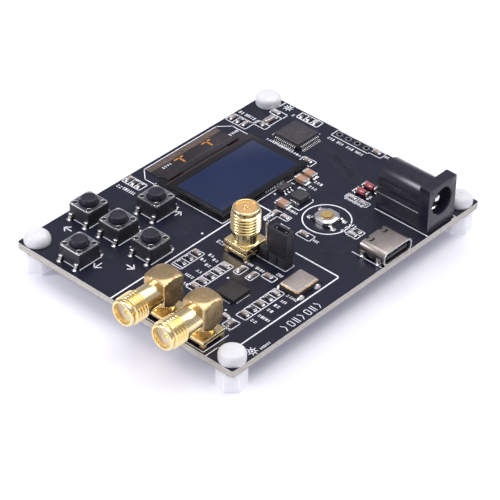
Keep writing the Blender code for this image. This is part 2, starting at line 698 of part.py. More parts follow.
def make_right_angle_sma(name, place_, looks):
    """Square-bar body turned at both ends, on a flange with four legs, and a barrel along +X."""
    where = at(*place_)
    x = place_[0]
    half = 0.00288
    low = 0.0016
    high = 0.0099
    bar = box(2 * half, 2 * half, low, high + 0.0001)
    stem = 0.0023
    lower = [(0.0, low), (stem, low), (stem, 0.0025), (half, 0.0032), (0.0041, 0.0045)]
    upper = [(0.0041, 0.0089), (0.0032, 0.0095), (0.0025, 0.0098), (0.0022, high), (0.0, high)]
    lathe = turned([*lower, *upper], 24)
    body = combined(bar, lathe, "INTERSECT")
    flange_low = 0.0007
    flange_high = 0.00175
    flange = prism([(z, rectangle(SMA_FLANGE, SMA_FLANGE, corner=0.0002)) for z in (flange_low, flange_high)])
    body = combined(body, flange, "UNION")
    body = combined(body, gathered(sma_legs(-LEG_DEPTH, flange_low + 0.0002)), "UNION")
    turn = Matrix.Translation((0.0, 0.0, SMA_AXIS_HEIGHT)) @ Matrix.Rotation(math.pi / 2, 4, "Y")
    start = CONNECTOR_REACH - x - SMA_BARREL
    end = CONNECTOR_REACH - x
    root = start - 0.001
    barrel = turned([(0.0, root), (SMA_NECK_RADIUS, root), *sma_barrel(start, 0.0038), (0.0, end)], 24)
    body = combined(body, moved(barrel, turn), "UNION")
    body = combined(body, moved(sma_bore(-0.0009, end), turn), "DIFFERENCE")
    drop = [(0.0, -0.001), (0.0011, -0.001), (0.0011, SMA_AXIS_HEIGHT), (0.0, SMA_AXIS_HEIGHT)]
    drop_hole = turned(drop, 16)
    body = combined(body, drop_hole, "DIFFERENCE")
    place(name + "_shell", body, looks["gold"], where)
    face = end - SMA_MOUTH_DEPTH
    sleeve = moved(sma_insulator(0.0012, face), turn)
    place(name + "_insulator", sleeve, looks["insulator"], where)
    contact = moved(sma_contact(-0.0006, face), turn)
    rod = [(0.0, -LEG_DEPTH), (0.00045, -LEG_DEPTH), (0.00045, SMA_AXIS_HEIGHT), (0.0, SMA_AXIS_HEIGHT)]
    drop_pin = turned(rod, 12)
    place(name + "_contact", combined(contact, drop_pin, "UNION"), looks["gold"], where)


# Power sockets

def make_jack(looks):
    """Barrel jack: square front flange, rounded back, blind round mouth towards +Y."""
    where = at(*JACK_PLACE)
    facing = Matrix(((1, 0, 0, 0), (0, 0, -1, 0), (0, 1, 0, 0), (0, 0, 0, 1)))
    flange_depth = 0.0027
    front = [(0.0, rectangle(JACK_WIDTH, JACK_HEIGHT - SEAT_GAP, (0.0, (JACK_HEIGHT + SEAT_GAP) / 2)))]
    front.append((flange_depth, front[0][1]))
    half = 0.0042
    shoulder = 0.0056
    arc = [(half * 0.97 * math.cos(math.radians(a)), JACK_AXIS + half * 0.94 * math.sin(math.radians(a)))
           for a in range(0, 181, 15)]
    section = [(-half, SEAT_GAP), (half, SEAT_GAP), (half, shoulder), *arc, (-half, shoulder)]
    back = prism([(flange_depth - 0.0005, section), (JACK_LENGTH, section)])
    body = moved(combined(prism(front), back, "UNION"), facing)
    lead_in = JACK_BORE_RADIUS + 0.0002
    through = JACK_LENGTH + 0.001
    mouth = [(0.0, -0.001), (lead_in, -0.001), (lead_in, 0.0), (JACK_BORE_RADIUS, 0.0003)]
    mouth += [(JACK_BORE_RADIUS, 0.0095), (0.00108, 0.0095), (0.00108, through), (0.0, through)]
    cut = moved(turned(mouth, 24), facing @ Matrix.Translation((0.0, JACK_AXIS, 0.0)))
    body = combined(body, cut, "DIFFERENCE")
    slot = shifted(box(0.0022, 0.0008, -0.001, JACK_AXIS - 0.0024), y=-JACK_SPRING_Y)
    channel = box(0.0022, 0.0058, 0.0027, JACK_AXIS, (0.0, -0.0061))
    body = combined(body, combined(slot, channel, "UNION"), "DIFFERENCE")
    place("dc_jack_housing", body, looks["black_plastic"], where)
    tip = 0.0009
    pin = [(0.0, tip), (0.0005, tip + 0.0001), (0.0009, tip + 0.0005), (0.0010, tip + 0.0010)]
    pin += [(0.0010, JACK_LENGTH + 0.0002), (0.0, JACK_LENGTH + 0.0002)]
    rod = moved(turned(pin, 16), facing @ Matrix.Translation((0.0, JACK_AXIS, 0.0)))
    lug = box(0.0026, 0.0004, -LEG_DEPTH, JACK_AXIS + 0.0014, (0.0, -JACK_LUG_Y))
    bridge = box(0.0012, 0.0006, JACK_AXIS - 0.0006, JACK_AXIS + 0.0006, (0.0, -JACK_LENGTH - 0.0002))
    rod = combined(combined(rod, bridge, "UNION"), lug, "UNION")
    place("dc_jack_pin", rod, looks["nickel"], where)
    path = [(-JACK_SPRING_Y, -LEG_DEPTH), (-JACK_SPRING_Y, 0.0031), (-JACK_SPRING_Y + 0.0004, 0.0034)]
    path += [(-0.0056, 0.0036), (-0.0044, 0.0041), (-0.0036, 0.0038)]
    spring = moved(strip(path, 0.0003, 0.0018), Matrix.Rotation(math.pi / 2, 4, "Z"))
    place("dc_jack_spring", spring, looks["nickel"], where)


def make_usb(looks):
    """Drawn steel shell with four legs, and an insulator with a tongue."""
    where = at(*USB_PLACE)
    facing = Matrix(((1, 0, 0, 0), (0, 0, -1, 0), (0, 1, 0, 0), (0, 0, 0, 1)))
    middle = SEAT_GAP + USB_HEIGHT / 2
    outer = rectangle(USB_WIDTH, USB_HEIGHT, (0.0, middle), 0.00135, 4)
    inner = rectangle(USB_WIDTH - 2 * USB_WALL, USB_HEIGHT - 2 * USB_WALL, (0.0, middle), 0.00105, 4)
    tube = moved(prism([(0.0, outer), (USB_LENGTH, outer)], [inner]), facing)
    legs = [box(0.0003, 0.0011, -0.0022, 0.0018, (side * USB_LEG_OFFSET, -back))
            for side in (-1, 1) for back in USB_LEG_BACKS]
    shell = combined(tube, gathered(legs), "UNION")
    place("usb_shell", shell, looks["nickel"], where)
    gap = 0.00005
    trim = 2 * (USB_WALL + gap)
    plug = rectangle(USB_WIDTH - trim, USB_HEIGHT - trim, (0.0, middle), 0.0010, 4)
    back = prism([(0.0052, plug), (USB_LENGTH - 0.0002, plug)])
    tip = rectangle(0.0064, 0.0005, (0.0, middle))
    slab = rectangle(0.0067, 0.0007, (0.0, middle))
    blade = prism([(0.0007, tip), (0.0010, slab), (0.0056, slab)])
    tongue = moved(combined(back, blade, "UNION"), facing)
    place("usb_tongue", tongue, looks["black_plastic"], where)


def main():
    clear_scene()
    looks = make_materials()
    make_board(looks)
    make_standoffs(looks)
    make_screws(looks)
    make_switches(looks)
    make_reset(looks)
    make_display(looks)
    make_microcontroller(looks)
    make_synthesizer(looks)
    make_oscillator(looks)
    make_regulator(looks)
    make_passives(looks)
    make_header(looks)
    make_upright_sma(looks)
    for name, place_ in RIGHT_ANGLE_SMA_PLACES.items():
        make_right_angle_sma(name, place_, looks)
    make_jack(looks)
    make_usb(looks)


main()
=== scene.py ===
"""Looks of a bare radio-frequency signal source and analyzer board on nylon standoffs.

Lengths below are millimetres, measured from the front left corner of the board's top face, with x to
the right, y to the back and z up. A shape is a triple: its points, its quads, and its end caps.
"""

import math

import bmesh
import bpy
import numpy as np
from mathutils import Matrix, Vector


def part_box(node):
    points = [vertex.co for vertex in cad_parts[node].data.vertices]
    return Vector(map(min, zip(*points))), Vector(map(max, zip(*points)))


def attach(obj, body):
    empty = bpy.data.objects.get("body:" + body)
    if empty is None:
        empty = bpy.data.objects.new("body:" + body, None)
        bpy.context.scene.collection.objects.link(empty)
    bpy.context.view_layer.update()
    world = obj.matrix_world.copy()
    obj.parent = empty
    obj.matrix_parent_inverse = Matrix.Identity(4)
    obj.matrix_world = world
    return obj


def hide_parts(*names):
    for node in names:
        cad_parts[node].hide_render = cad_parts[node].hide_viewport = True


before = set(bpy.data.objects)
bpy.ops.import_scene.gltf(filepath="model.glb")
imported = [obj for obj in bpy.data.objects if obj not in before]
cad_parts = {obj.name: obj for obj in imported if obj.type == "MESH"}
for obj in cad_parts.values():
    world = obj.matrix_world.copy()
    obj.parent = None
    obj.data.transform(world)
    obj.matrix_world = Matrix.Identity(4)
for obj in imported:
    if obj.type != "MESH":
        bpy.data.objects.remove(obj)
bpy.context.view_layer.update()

MM = 0.001
BOARD_LOW, BOARD_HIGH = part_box("circuit_board")
CORNER = np.array([BOARD_LOW.x, BOARD_LOW.y, BOARD_HIGH.z])
BOARD_THICKNESS = (BOARD_HIGH.z - BOARD_LOW.z) / MM

# Height of printed ink, pitch of header pins and connector legs, where a push button's legs stand from
# its middle, and the length and heights of the round openings' axes
INK = 0.03
PITCH = 2.54
SWITCH_LEGS = (3.7, 2.25)
SMA_BARREL = 8.5
SMA_AXIS = 6.1
JACK_AXIS = 6.4


def span(node):
    """Lowest and highest corner of a CAD node, in the board's millimetres."""
    low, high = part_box(node)
    return (np.array(low) - CORNER) / MM, (np.array(high) - CORNER) / MM


def centre(node):
    """Middle of a CAD node in plan."""
    low, high = span(node)
    return (low + high)[:2] / 2


# Surfaces

def outline(half_x, half_y, corner, steps=4):
    """Rectangle with each corner a quarter arc of steps + 1 points, anticlockwise from +X."""
    turn = (np.arange(4)[:, None] + np.linspace(0, 1, steps + 1)) * np.pi / 2
    side_x = np.array([1, -1, -1, 1])[:, None]
    side_y = np.array([1, 1, -1, -1])[:, None]
    x = side_x * (half_x - corner) + corner * np.cos(turn)
    y = side_y * (half_y - corner) + corner * np.sin(turn)
    return np.stack([x.ravel(), y.ravel()], 1)


def around(count):
    """Angles of count points round a circle, from 0."""
    return np.arange(count) * 2 * np.pi / count


def oval(half_x, half_y, power=2.0, count=48):
    """Superellipse: at angle t the distance is (|cos t / a|^p + |sin t / b|^p)^(-1/p)."""
    turn = around(count)
    reach = (np.abs(np.cos(turn) / half_x) ** power + np.abs(np.sin(turn) / half_y) ** power) ** (-1 / power)
    return np.stack([reach * np.cos(turn), reach * np.sin(turn)], 1)


def skin(loops, ends=True):
    """Quads between neighbouring loops of a (rows, count, 3) stack. Without ends, the stack is a ring."""
    rows, count = loops.shape[:2]
    index = np.arange(rows * count).reshape(rows, count)
    lower = index[:-1] if ends else index
    upper = index[1:] if ends else np.roll(index, -1, 0)
    quads = np.stack([lower, np.roll(lower, -1, 1), np.roll(upper, -1, 1), upper], -1)
    caps = [index[0][::-1], index[-1]] if ends else []
    return loops.reshape(-1, 3), quads.reshape(-1, 4), caps


def stacked(plan, height, ends=True):
    """Skin of outlines in a (rows, count, 2) stack, one at each height."""
    height = np.array(height, float)
    tall = np.broadcast_to(height[:, None, None], plan.shape[:2] + (1,))
    return skin(np.concatenate([plan, tall], 2), ends)


def four(x, y):
    """Places of the four corners of a rectangle, with half sizes x and y."""
    return [(sx * x, sy * y) for sx in (-1, 1) for sy in (-1, 1)]


def joined(shapes):
    """One shape from several."""
    points, quads, caps, count = [], [], [], 0
    for shape in shapes:
        points.append(shape[0])
        quads.append(shape[1] + count)
        caps += [np.asarray(cap) + count for cap in shape[2]]
        count += len(shape[0])
    return np.concatenate(points), np.concatenate(quads), caps


def moved(shape, x=0.0, y=0.0, z=0.0):
    """Shape shifted by x, y and z."""
    return shape[0] + np.array([x, y, z]), shape[1], shape[2]


def spun(shape, degrees):
    """Shape turned about Z."""
    c, s = math.cos(math.radians(degrees)), math.sin(math.radians(degrees))
    return shape[0] @ np.array([[c, s, 0], [-s, c, 0], [0, 0, 1]]), shape[1], shape[2]


def laid(shape, order):
    """Shape with its axes swapped: order 201 puts its Z along X, and 120 puts its Z along Y."""
    return shape[0][:, [int(digit) for digit in order]], shape[1], shape[2]


def copies(shape, places):
    """Copies of a shape at (x, y) or (x, y, z) places, worked out as one array."""
    places = np.array([(*place, 0.0)[:3] for place in places], float)
    count = len(shape[0])
    points = (places[:, None, :] + shape[0][None]).reshape(-1, 3)
    step = np.arange(len(places)) * count
    quads = (step[:, None, None] + shape[1][None]).reshape(-1, 4)
    caps = [cap + offset for offset in step for cap in shape[2]]
    return points, quads, caps


def soft_box(size_x, size_y, low, high, corner=0.2, edge=0.1, steps=3, draft=0.0):
    """Block. Its outline is drawn in by a quarter circle of radius edge at the foot and the top."""
    turn = np.linspace(0, np.pi / 2, steps + 1)
    inset = np.concatenate([edge * (1 - np.sin(turn)), edge * (1 - np.cos(turn)) + draft])
    height = np.concatenate([low + edge * (1 - np.cos(turn)), high - edge * (1 - np.sin(turn))])
    corner = max(corner, edge + draft + 0.01)
    ends = outline(size_x / 2, size_y / 2, corner, steps)
    core = outline(size_x / 2, size_y / 2, corner, steps) - corner * outline(1, 1, 1, steps)
    spread = (ends - core) / corner
    plan = core[None] + (corner - inset)[:, None, None] * spread[None]
    return stacked(plan, height)


def turned(profile, count=48, ends=True):
    """Profile of (radius, height) points carried round Z. A ring's profile closes on itself."""
    profile = np.array(profile, float)
    angle = around(count)
    radius = np.maximum(profile[:, 0], 0.002)[:, None]
    loops = np.stack([radius * np.cos(angle), radius * np.sin(angle),
                      np.broadcast_to(profile[:, 1][:, None], (len(profile), count))], 2)
    return skin(loops, ends)


def eased(points, times=2):
    """Open path with its corners cut: each pass puts points at 1/4 and 3/4 of every stretch."""
    path = np.array(points, float)
    for _ in range(times):
        low = 0.75 * path[:-1] + 0.25 * path[1:]
        high = 0.25 * path[:-1] + 0.75 * path[1:]
        path = np.concatenate([path[:1], np.stack([low, high], 1).reshape(-1, path.shape[1]), path[-1:]])
    return path


def strip(path, width, thickness, taper=None):
    """Flat bar bent along (out, up) points, with its width along Y. The section is a soft rectangle."""
    path = np.array(path, float)
    ahead = np.gradient(path, axis=0)
    ahead /= np.linalg.norm(ahead, axis=1)[:, None]
    normal = np.stack([-ahead[:, 1], ahead[:, 0]], 1)
    ease = min(width, thickness) * 0.22
    section = outline(thickness / 2, width / 2, ease, 1)
    wide = np.ones(len(path)) if taper is None else np.interp(np.linspace(0, 1, len(path)), *taper)
    across = path[:, None, :] + section[None, :, :1] * normal[:, None, :]
    side = section[None, :, 1] * wide[:, None]
    return skin(np.stack([across[..., 0], side, across[..., 1]], 2))


def bars(rows, low=0.0, high=INK):
    """Straight bars of rows (x0, y0, x1, y1, width), all as one array of boxes."""
    rows = np.array(rows, float)
    start, end = rows[:, 0:2], rows[:, 2:4]
    ahead = end - start
    ahead /= np.maximum(np.linalg.norm(ahead, axis=1), 1e-6)[:, None]
    side = np.stack([-ahead[:, 1], ahead[:, 0]], 1) * rows[:, 4:5] / 2
    plan = np.stack([start - side, end - side, end + side, start + side], 1)
    lower = np.concatenate([plan, np.full(plan.shape[:2] + (1,), low)], 2)
    upper = np.concatenate([plan, np.full(plan.shape[:2] + (1,), high)], 2)
    points = np.concatenate([lower, upper], 1).reshape(-1, 3)
    faces = np.array([[3, 2, 1, 0], [4, 5, 6, 7], [0, 1, 5, 4], [1, 2, 6, 5], [2, 3, 7, 6], [3, 0, 4, 7]])
    quads = (np.arange(len(rows))[:, None, None] * 8 + faces[None]).reshape(-1, 4)
    return points, quads, []


def band(radius, width, low=0.0, high=INK, count=64):
    """Flat ring: a rectangle carried round Z."""
    inner, outer = radius - width / 2, radius + width / 2
    return turned([(inner, low), (outer, low), (outer, high), (inner, high)], count, False)


def chain(points, width, closed=False):
    """Rows for bars that join points in turn, each run on by half its width so the corners fill."""
    points = np.array(points, float)
    ends = np.roll(points, -1, 0) if closed else points[1:]
    starts = points if closed else points[:-1]
    ahead = ends - starts
    ahead /= np.linalg.norm(ahead, axis=1)[:, None]
    starts = starts - ahead * width / 2
    ends = ends + ahead * width / 2
    return np.concatenate([starts, ends, np.full((len(starts), 1), width)], 1).tolist()


def frame_of(x0, y0, x1, y1, width=0.18):
    """Rows for a printed box."""
    return chain([(x0, y0), (x1, y0), (x1, y1), (x0, y1)], width, True)


# Materials

def node(tree, kind, values=(), **settings):
    """Shader node with its settings made, and then its sockets' values set by name or number."""
    made = tree.nodes.new("ShaderNode" + kind)
    for name, value in settings.items():
        setattr(made, name, value)
    for name, value in dict(values).items():
        made.inputs[name].default_value = value
    return made


def wire(tree, *runs):
    """Joins sockets, each run as (node, its output, next node, its input)."""
    for source, out, target, into in runs:
        tree.links.new(source.outputs[out], target.inputs[into])


def group(name, inputs, outputs):
    """Node group with named sockets, and the nodes at its two ends. Vector is always its first input."""
    tree = bpy.data.node_groups.new(name, "ShaderNodeTree")
    for direction, rows in (("INPUT", (("Vector", "Vector"),) + inputs), ("OUTPUT", outputs)):
        for label, kind, *value in rows:
            made = tree.interface.new_socket(name=label, in_out=direction, socket_type="NodeSocket" + kind)
            if value:
                made.default_value = value[0]
    return tree, tree.nodes.new("NodeGroupInput"), tree.nodes.new("NodeGroupOutput")


def grain_group():
    """Fine noise: a value for roughness or colour, and a normal bumped by it."""
    tree, ins, outs = group(
        "fine_grain", (("Scale", "Float", 4000.0), ("Low", "Float", 0.3), ("High", "Float", 0.5),
                       ("Bump", "Float", 0.1), ("Depth", "Float", 0.00002)),
        (("Value", "Float"), ("Normal", "Vector")))
    noise = node(tree, "TexNoise", {"Detail": 4.0})
    spread = node(tree, "MapRange", {"From Min": 0.3, "From Max": 0.7})
    bump = node(tree, "Bump")
    wire(tree, (ins, "Vector", noise, "Vector"), (ins, "Scale", noise, "Scale"),
         (noise, "Fac", spread, "Value"), (ins, "Low", spread, "To Min"), (ins, "High", spread, "To Max"),
         (ins, "Bump", bump, "Strength"), (ins, "Depth", bump, "Distance"), (noise, "Fac", bump, "Height"),
         (spread, "Result", outs, "Value"), (bump, "Normal", outs, "Normal"))
    return tree


def patch_group():
    """Soft patches of a second colour over a first."""
    tree, ins, outs = group(
        "colour_patches", (("Scale", "Float", 300.0), ("First", "Color"), ("Second", "Color")),
        (("Colour", "Color"),))
    noise = node(tree, "TexNoise", {"Detail": 5.0, "Roughness": 0.6})
    spread = node(tree, "MapRange", {"From Min": 0.36, "From Max": 0.64})
    mix = node(tree, "Mix", data_type="RGBA")
    wire(tree, (ins, "Vector", noise, "Vector"), (ins, "Scale", noise, "Scale"),
         (noise, "Fac", spread, "Value"), (spread, "Result", mix, "Factor"), (ins, "First", mix, "A"),
         (ins, "Second", mix, "B"), (mix, "Result", outs, "Colour"))
    return tree


GRAIN = grain_group()
PATCHES = patch_group()


def finish_of(name, first, second, rough, metal, grain, bump, depth, patch, stretch=(1.0, 1.0, 1.0), **fixed):
    """Material from two colours in patches and a fine grain. Other names are the shader's own sockets."""
    made = bpy.data.materials.new(name)
    made.use_nodes = True
    tree = made.node_tree
    shader = tree.nodes["Principled BSDF"]
    where = node(tree, "TexCoord")
    mapping = node(tree, "Mapping", {"Scale": stretch})
    patches = node(tree, "Group", node_tree=PATCHES)
    fine = node(tree, "Group", node_tree=GRAIN)
    for holder, values in (
            (patches, {"Scale": patch, "First": (*first, 1.0), "Second": (*second, 1.0)}),
            (fine, {"Scale": grain, "Low": rough[0], "High": rough[1], "Bump": bump, "Depth": depth * MM})):
        for socket, value in values.items():
            holder.inputs[socket].default_value = value
    wire(tree, (where, "Object", mapping, "Vector"), (where, "Object", patches, "Vector"),
         (mapping, "Vector", fine, "Vector"), (patches, "Colour", shader, "Base Color"),
         (fine, "Value", shader, "Roughness"), (fine, "Normal", shader, "Normal"))
    shader.inputs["Metallic"].default_value = metal
    for key, value in fixed.items():
        shader.inputs[key.replace("_", " ").title().replace("Ior", "IOR")].default_value = value
    return made


def ramp(tree, *stops):
    """Colour ramp with (place, colour) stops, from first to last."""
    made = node(tree, "ValToRGB")
    elements = made.color_ramp.elements
    elements[0].position, elements[1].position = stops[0][0], stops[-1][0]
    elements[0].color, elements[1].color = (*stops[0][1], 1), (*stops[-1][1], 1)
    for place, colour in stops[1:-1]:
        elements.new(place).color = (*colour, 1)
    return made


def add_cut_edge(made):
    """Cream laminate in fine layers, on faces that stand upright in place of the mask."""
    tree = made.node_tree
    shader = tree.nodes["Principled BSDF"]
    where = next(n for n in tree.nodes if n.type == "TEX_COORD")
    mask_colour = shader.inputs["Base Color"].links[0].from_node
    form = node(tree, "NewGeometry")
    split = node(tree, "SeparateXYZ")
    upright = node(tree, "Math", operation="ABSOLUTE")
    is_edge = node(tree, "Math", {1: 0.5}, operation="LESS_THAN")
    layers = node(tree, "Mapping", {"Scale": (1.0, 1.0, 9.0)})
    weave = node(tree, "TexNoise", {"Scale": 900.0, "Detail": 6.0})
    cream = ramp(tree, (0.3, (0.44, 0.4, 0.33)), (0.62, (0.66, 0.63, 0.57)))
    place = node(tree, "SeparateXYZ")
    height = node(tree, "MapRange", {"From Min": BOARD_LOW.z, "From Max": BOARD_HIGH.z})
    # Bands by height: darker at the foot, a dark line near the top, and a painted highlight along the top
    # edge.
    height_bands = ramp(tree, (0.0, (0.55, 0.52, 0.5)), (0.08, (0.92,) * 3), (0.8, (0.6,) * 3),
                 (0.87, (1.25,) * 3))
    height_bands.color_ramp.interpolation = "CONSTANT"
    cream_with_bands = node(tree, "Mix", {"Factor": 1.0}, data_type="RGBA", blend_type="MULTIPLY")
    mix = node(tree, "Mix", data_type="RGBA")
    wire(tree, (form, "Normal", split, "Vector"), (split, "Z", upright, 0), (upright, "Value", is_edge, 0),
         (where, "Object", layers, "Vector"), (layers, "Vector", weave, "Vector"),
         (weave, "Fac", cream, "Fac"), (is_edge, "Value", mix, "Factor"), (mask_colour, "Colour", mix, "A"),
         (where, "Object", place, "Vector"), (place, "Z", height, "Value"), (height, "Result", height_bands, "Fac"),
         (cream, "Color", cream_with_bands, "A"), (height_bands, "Color", cream_with_bands, "B"), (cream_with_bands, "Result", mix, "B"),
         (mix, "Result", shader, "Base Color"))


# look: slot, material, two colours, two ends of roughness, metal, grain and bump of the grain, its depth,
# size of the patches, and what else is set. Grain and patches are repeats per metre.
FINISHES = {
    "mask": ("solder_mask", "solder_mask", (0.006, 0.007, 0.019), (0.009, 0.01, 0.024), (0.28, 0.4), 0, 5200,
             0.12, 0.006, 160, dict(specular_ior_level=0.42)),
    "copper": ("solder_mask", "mask_over_copper", (0.012, 0.013, 0.025), (0.016, 0.017, 0.03), (0.26, 0.36),
               0, 3000, 0.1, 0.006, 350),
    "ink": ("solder_mask", "white_ink", (0.95, 0.95, 0.97), (0.8, 0.8, 0.85), (0.55, 0.7), 0, 9000, 0.2, 0.01,
            2500),
    # Standoff nylon: a lighter copy of the screws' nylon, with a painted glow from its emission that lifts
    # the standoffs in the board's shade.
    "nylon": ("nylon", "milky_nylon", (0.96, 0.96, 0.98), (0.93, 0.93, 0.96), (0.3, 0.38), 0, 900, 0.03, 0.01,
              160, dict(subsurface_weight=1, subsurface_scale=0.0035, subsurface_radius=(1, 1, 1),
                        emission_color=(0.85, 0.86, 0.96, 1), emission_strength=0.11)),
    # The screws' copy of the same nylon, darker to hold down the strong light on their heads: painted shade.
    "screw_nylon": ("nylon", "moulded_nylon", (0.76, 0.76, 0.765), (0.71, 0.71, 0.725), (0.3, 0.4), 0, 900,
                    0.05, 0.01, 260, dict(subsurface_weight=0.25, subsurface_scale=0.001,
                                          subsurface_radius=(1, 1, 1))),
    "black": ("black_plastic", "black_moulding", (0.017, 0.016, 0.022), (0.024, 0.022, 0.03), (0.42, 0.58), 0,
              9000, 0.16, 0.01, 350),
    "jack": ("black_plastic", "matt_black_moulding", (0.012, 0.011, 0.021), (0.018, 0.016, 0.028), (0.2, 0.3),
             0, 7000, 0.2, 0.012, 500),
    "button": ("button_plastic", "dark_grey_button", (0.017, 0.016, 0.025), (0.03, 0.028, 0.04), (0.34, 0.5),
               0, 1500, 0.45, 0.06, 1100, dict(specular_ior_level=0.34)),
    "cover": ("steel", "switch_steel", (0.19, 0.185, 0.21), (0.33, 0.32, 0.35), (0.28, 0.44), 1, 900, 0.1,
              0.008, 1100, dict(stretch=(1, 9, 1))),
    "tin": ("nickel", "tinned_metal", (0.86, 0.85, 0.84), (0.68, 0.67, 0.66), (0.2, 0.38), 1, 3500, 0.3, 0.02,
            1600),
    "solder": ("nickel", "solder", (0.8, 0.8, 0.8), (0.62, 0.62, 0.62), (0.12, 0.34), 1, 2600, 0.35, 0.04,
               1800),
    "gold": ("gold", "gold_plate", (1, 0.84, 0.48), (0.93, 0.73, 0.37), (0.14, 0.24), 1, 1200, 0.02, 0.01,
             400),
    "bar_gold": ("gold", "milled_gold_plate", (0.78, 0.55, 0.28), (0.5, 0.37, 0.2), (0.24, 0.38), 1, 1500,
                 0.14, 0.012, 380, dict(stretch=(1, 14, 1))),
    "dark_gold": ("gold", "shaded_gold_plate", (0.16, 0.11, 0.05), (0.1, 0.07, 0.035), (0.4, 0.5), 1, 3000,
                  0.1, 0.02, 350),
    "warm_face": ("insulator", "gold_tinted_face", (1, 0.66, 0.31), (0.92, 0.54, 0.22), (0.25, 0.35), 0.6,
                  3000, 0.05, 0.02, 350),
    "cream": ("insulator", "fluoropolymer", (0.93, 0.82, 0.62), (0.86, 0.73, 0.5), (0.4, 0.5), 0, 3000, 0.05,
              0.02, 350),
    "dark_glass": ("display_glass", "display_border", (0.005, 0.005, 0.007), (0.009, 0.008, 0.01),
                   (0.05, 0.11), 0, 800, 0.02, 0.01, 350, dict(specular_ior_level=0.36)),
    "screen": ("display_glass", "display_window", (0.008, 0.017, 0.058), (0.011, 0.021, 0.07), (0.1, 0.16), 0,
               600, 0.01, 0.01, 60, dict(specular_ior_level=0.36)),
    "film": ("flex", "dark_film", (0.013, 0.01, 0.013), (0.02, 0.014, 0.015), (0.22, 0.36), 0, 900, 0.15,
             0.03, 160),
    "tan": ("flex", "bare_film_edge", (0.17, 0.115, 0.085), (0.075, 0.055, 0.048), (0.35, 0.5), 0, 3000, 0.1,
            0.02, 420),
    "rust": ("flex", "glass_sealant", (0.16, 0.045, 0.025), (0.09, 0.025, 0.018), (0.3, 0.4), 0, 3000, 0.1,
             0.02, 350),
    "amber": ("flex", "bare_film", (0.58, 0.24, 0.055), (0.46, 0.18, 0.035), (0.3, 0.4), 0, 3000, 0.1, 0.02,
              1200),
    "epoxy": ("chip_epoxy", "chip_epoxy", (0.028, 0.025, 0.03), (0.052, 0.047, 0.053), (0.46, 0.6), 0, 9000,
              0.3, 0.012, 1400),
    "brown_epoxy": ("chip_epoxy", "brown_chip_epoxy", (0.015, 0.013, 0.013), (0.026, 0.022, 0.021),
                    (0.5, 0.62), 0, 9000, 0.25, 0.012, 900, dict(specular_ior_level=0.42)),
    "etch": ("chip_epoxy", "laser_etch", (0.105, 0.095, 0.085), (0.075, 0.068, 0.06), (0.6, 0.7), 0, 3000,
             0.1, 0.02, 3000),
    "faint_etch": ("chip_epoxy", "faint_laser_etch", (0.058, 0.052, 0.048), (0.04, 0.036, 0.033), (0.6, 0.7),
                   0, 3000, 0.1, 0.02, 3000),
    "lid_etch": ("nickel", "lid_laser_etch", (0.3, 0.27, 0.26), (0.24, 0.22, 0.21), (0.5, 0.6), 0, 3000, 0.1,
                 0.02, 3000),
    # Frosty solder, and also the painted highlights round the USB shell's lip and on its dimples.
    "pale_solder_and_highlight": ("nickel", "frosty_solder", (0.88, 0.87, 0.86), (0.76, 0.75, 0.75), (0.22, 0.4), 0.7, 2200,
                    0.15, 0.03, 1800),
    "lid": ("nickel", "oscillator_lid", (0.66, 0.57, 0.51), (0.54, 0.47, 0.43), (0.26, 0.36), 0.85, 500, 0.04,
            0.006, 200, dict(stretch=(6, 1, 1))),
    "rim": ("nickel", "weld_rim", (0.9, 0.68, 0.38), (0.78, 0.56, 0.28), (0.2, 0.3), 1, 3000, 0.1, 0.02, 350),
    "ceramic_side": ("ceramic", "dark_ceramic", (0.028, 0.02, 0.024), (0.05, 0.035, 0.035), (0.5, 0.6), 0,
                     3000, 0.1, 0.02, 350),
    "nickel": ("nickel", "brushed_nickel", (0.4, 0.355, 0.325), (0.32, 0.285, 0.265), (0.26, 0.4), 1, 700,
               0.12, 0.006, 300, dict(stretch=(14, 1, 1))),
    # Bright metal, and also the painted highlights round the switch rivets and along the switch plates'
    # edges.
    "bright": ("nickel", "bright_nickel", (0.84, 0.82, 0.79), (0.74, 0.72, 0.7), (0.14, 0.24), 1, 3000, 0.08,
               0.02, 350),
    "capacitor": ("ceramic", "capacitor_ceramic", (0.48, 0.28, 0.18), (0.38, 0.21, 0.13), (0.3, 0.45), 0,
                  5000, 0.2, 0.02, 900),
    "pale_ceramic": ("ceramic", "pale_ceramic", (0.42, 0.34, 0.29), (0.31, 0.25, 0.22), (0.35, 0.5), 0, 3000,
                     0.15, 0.02, 1100),
    "resistor": ("chip_epoxy", "resistor_glaze", (0.045, 0.04, 0.046), (0.07, 0.062, 0.066), (0.25, 0.35), 0,
                 3000, 0.1, 0.02, 350),
    "alumina": ("ceramic", "alumina", (0.56, 0.53, 0.53), (0.46, 0.43, 0.43), (0.5, 0.6), 0, 3000, 0.15, 0.02,
                1500),
    "red_glass": ("diode_glass", "red_glass", (0.45, 0.09, 0.1), (0.26, 0.045, 0.05), (0.08, 0.18), 0, 3000,
                  0.05, 0.02, 1300, dict(coat_weight=0.6)),
    "actuator": ("actuator", "amber_actuator", (0.5, 0.35, 0.13), (0.36, 0.24, 0.08), (0.3, 0.45), 0, 2500,
                 0.3, 0.03, 1300),
    "ferrite": ("ferrite", "ferrite", (0.03, 0.03, 0.034), (0.044, 0.044, 0.048), (0.4, 0.55), 0, 6000, 0.35,
                0.02, 900),
    # Near black: painted shade in the holes, the socket bottoms, the USB shell's mouth, back, side cuts and
    # notches, the reset button's creases and behind the USB dimples; also the own colour of the switch
    # rivets, the diode bands and the display's driver chip.
    "black_and_painted_shade": ("black_plastic", "deep_shadow", (0.004, 0.004, 0.005), (0.006, 0.006, 0.007), (0.7, 0.8), 0,
             3000, 0.05, 0.02, 350),
}
LOOKS = {look: finish_of(*row[1:10], **dict(*row[10:])) for look, row in FINISHES.items()}
add_cut_edge(LOOKS["mask"])


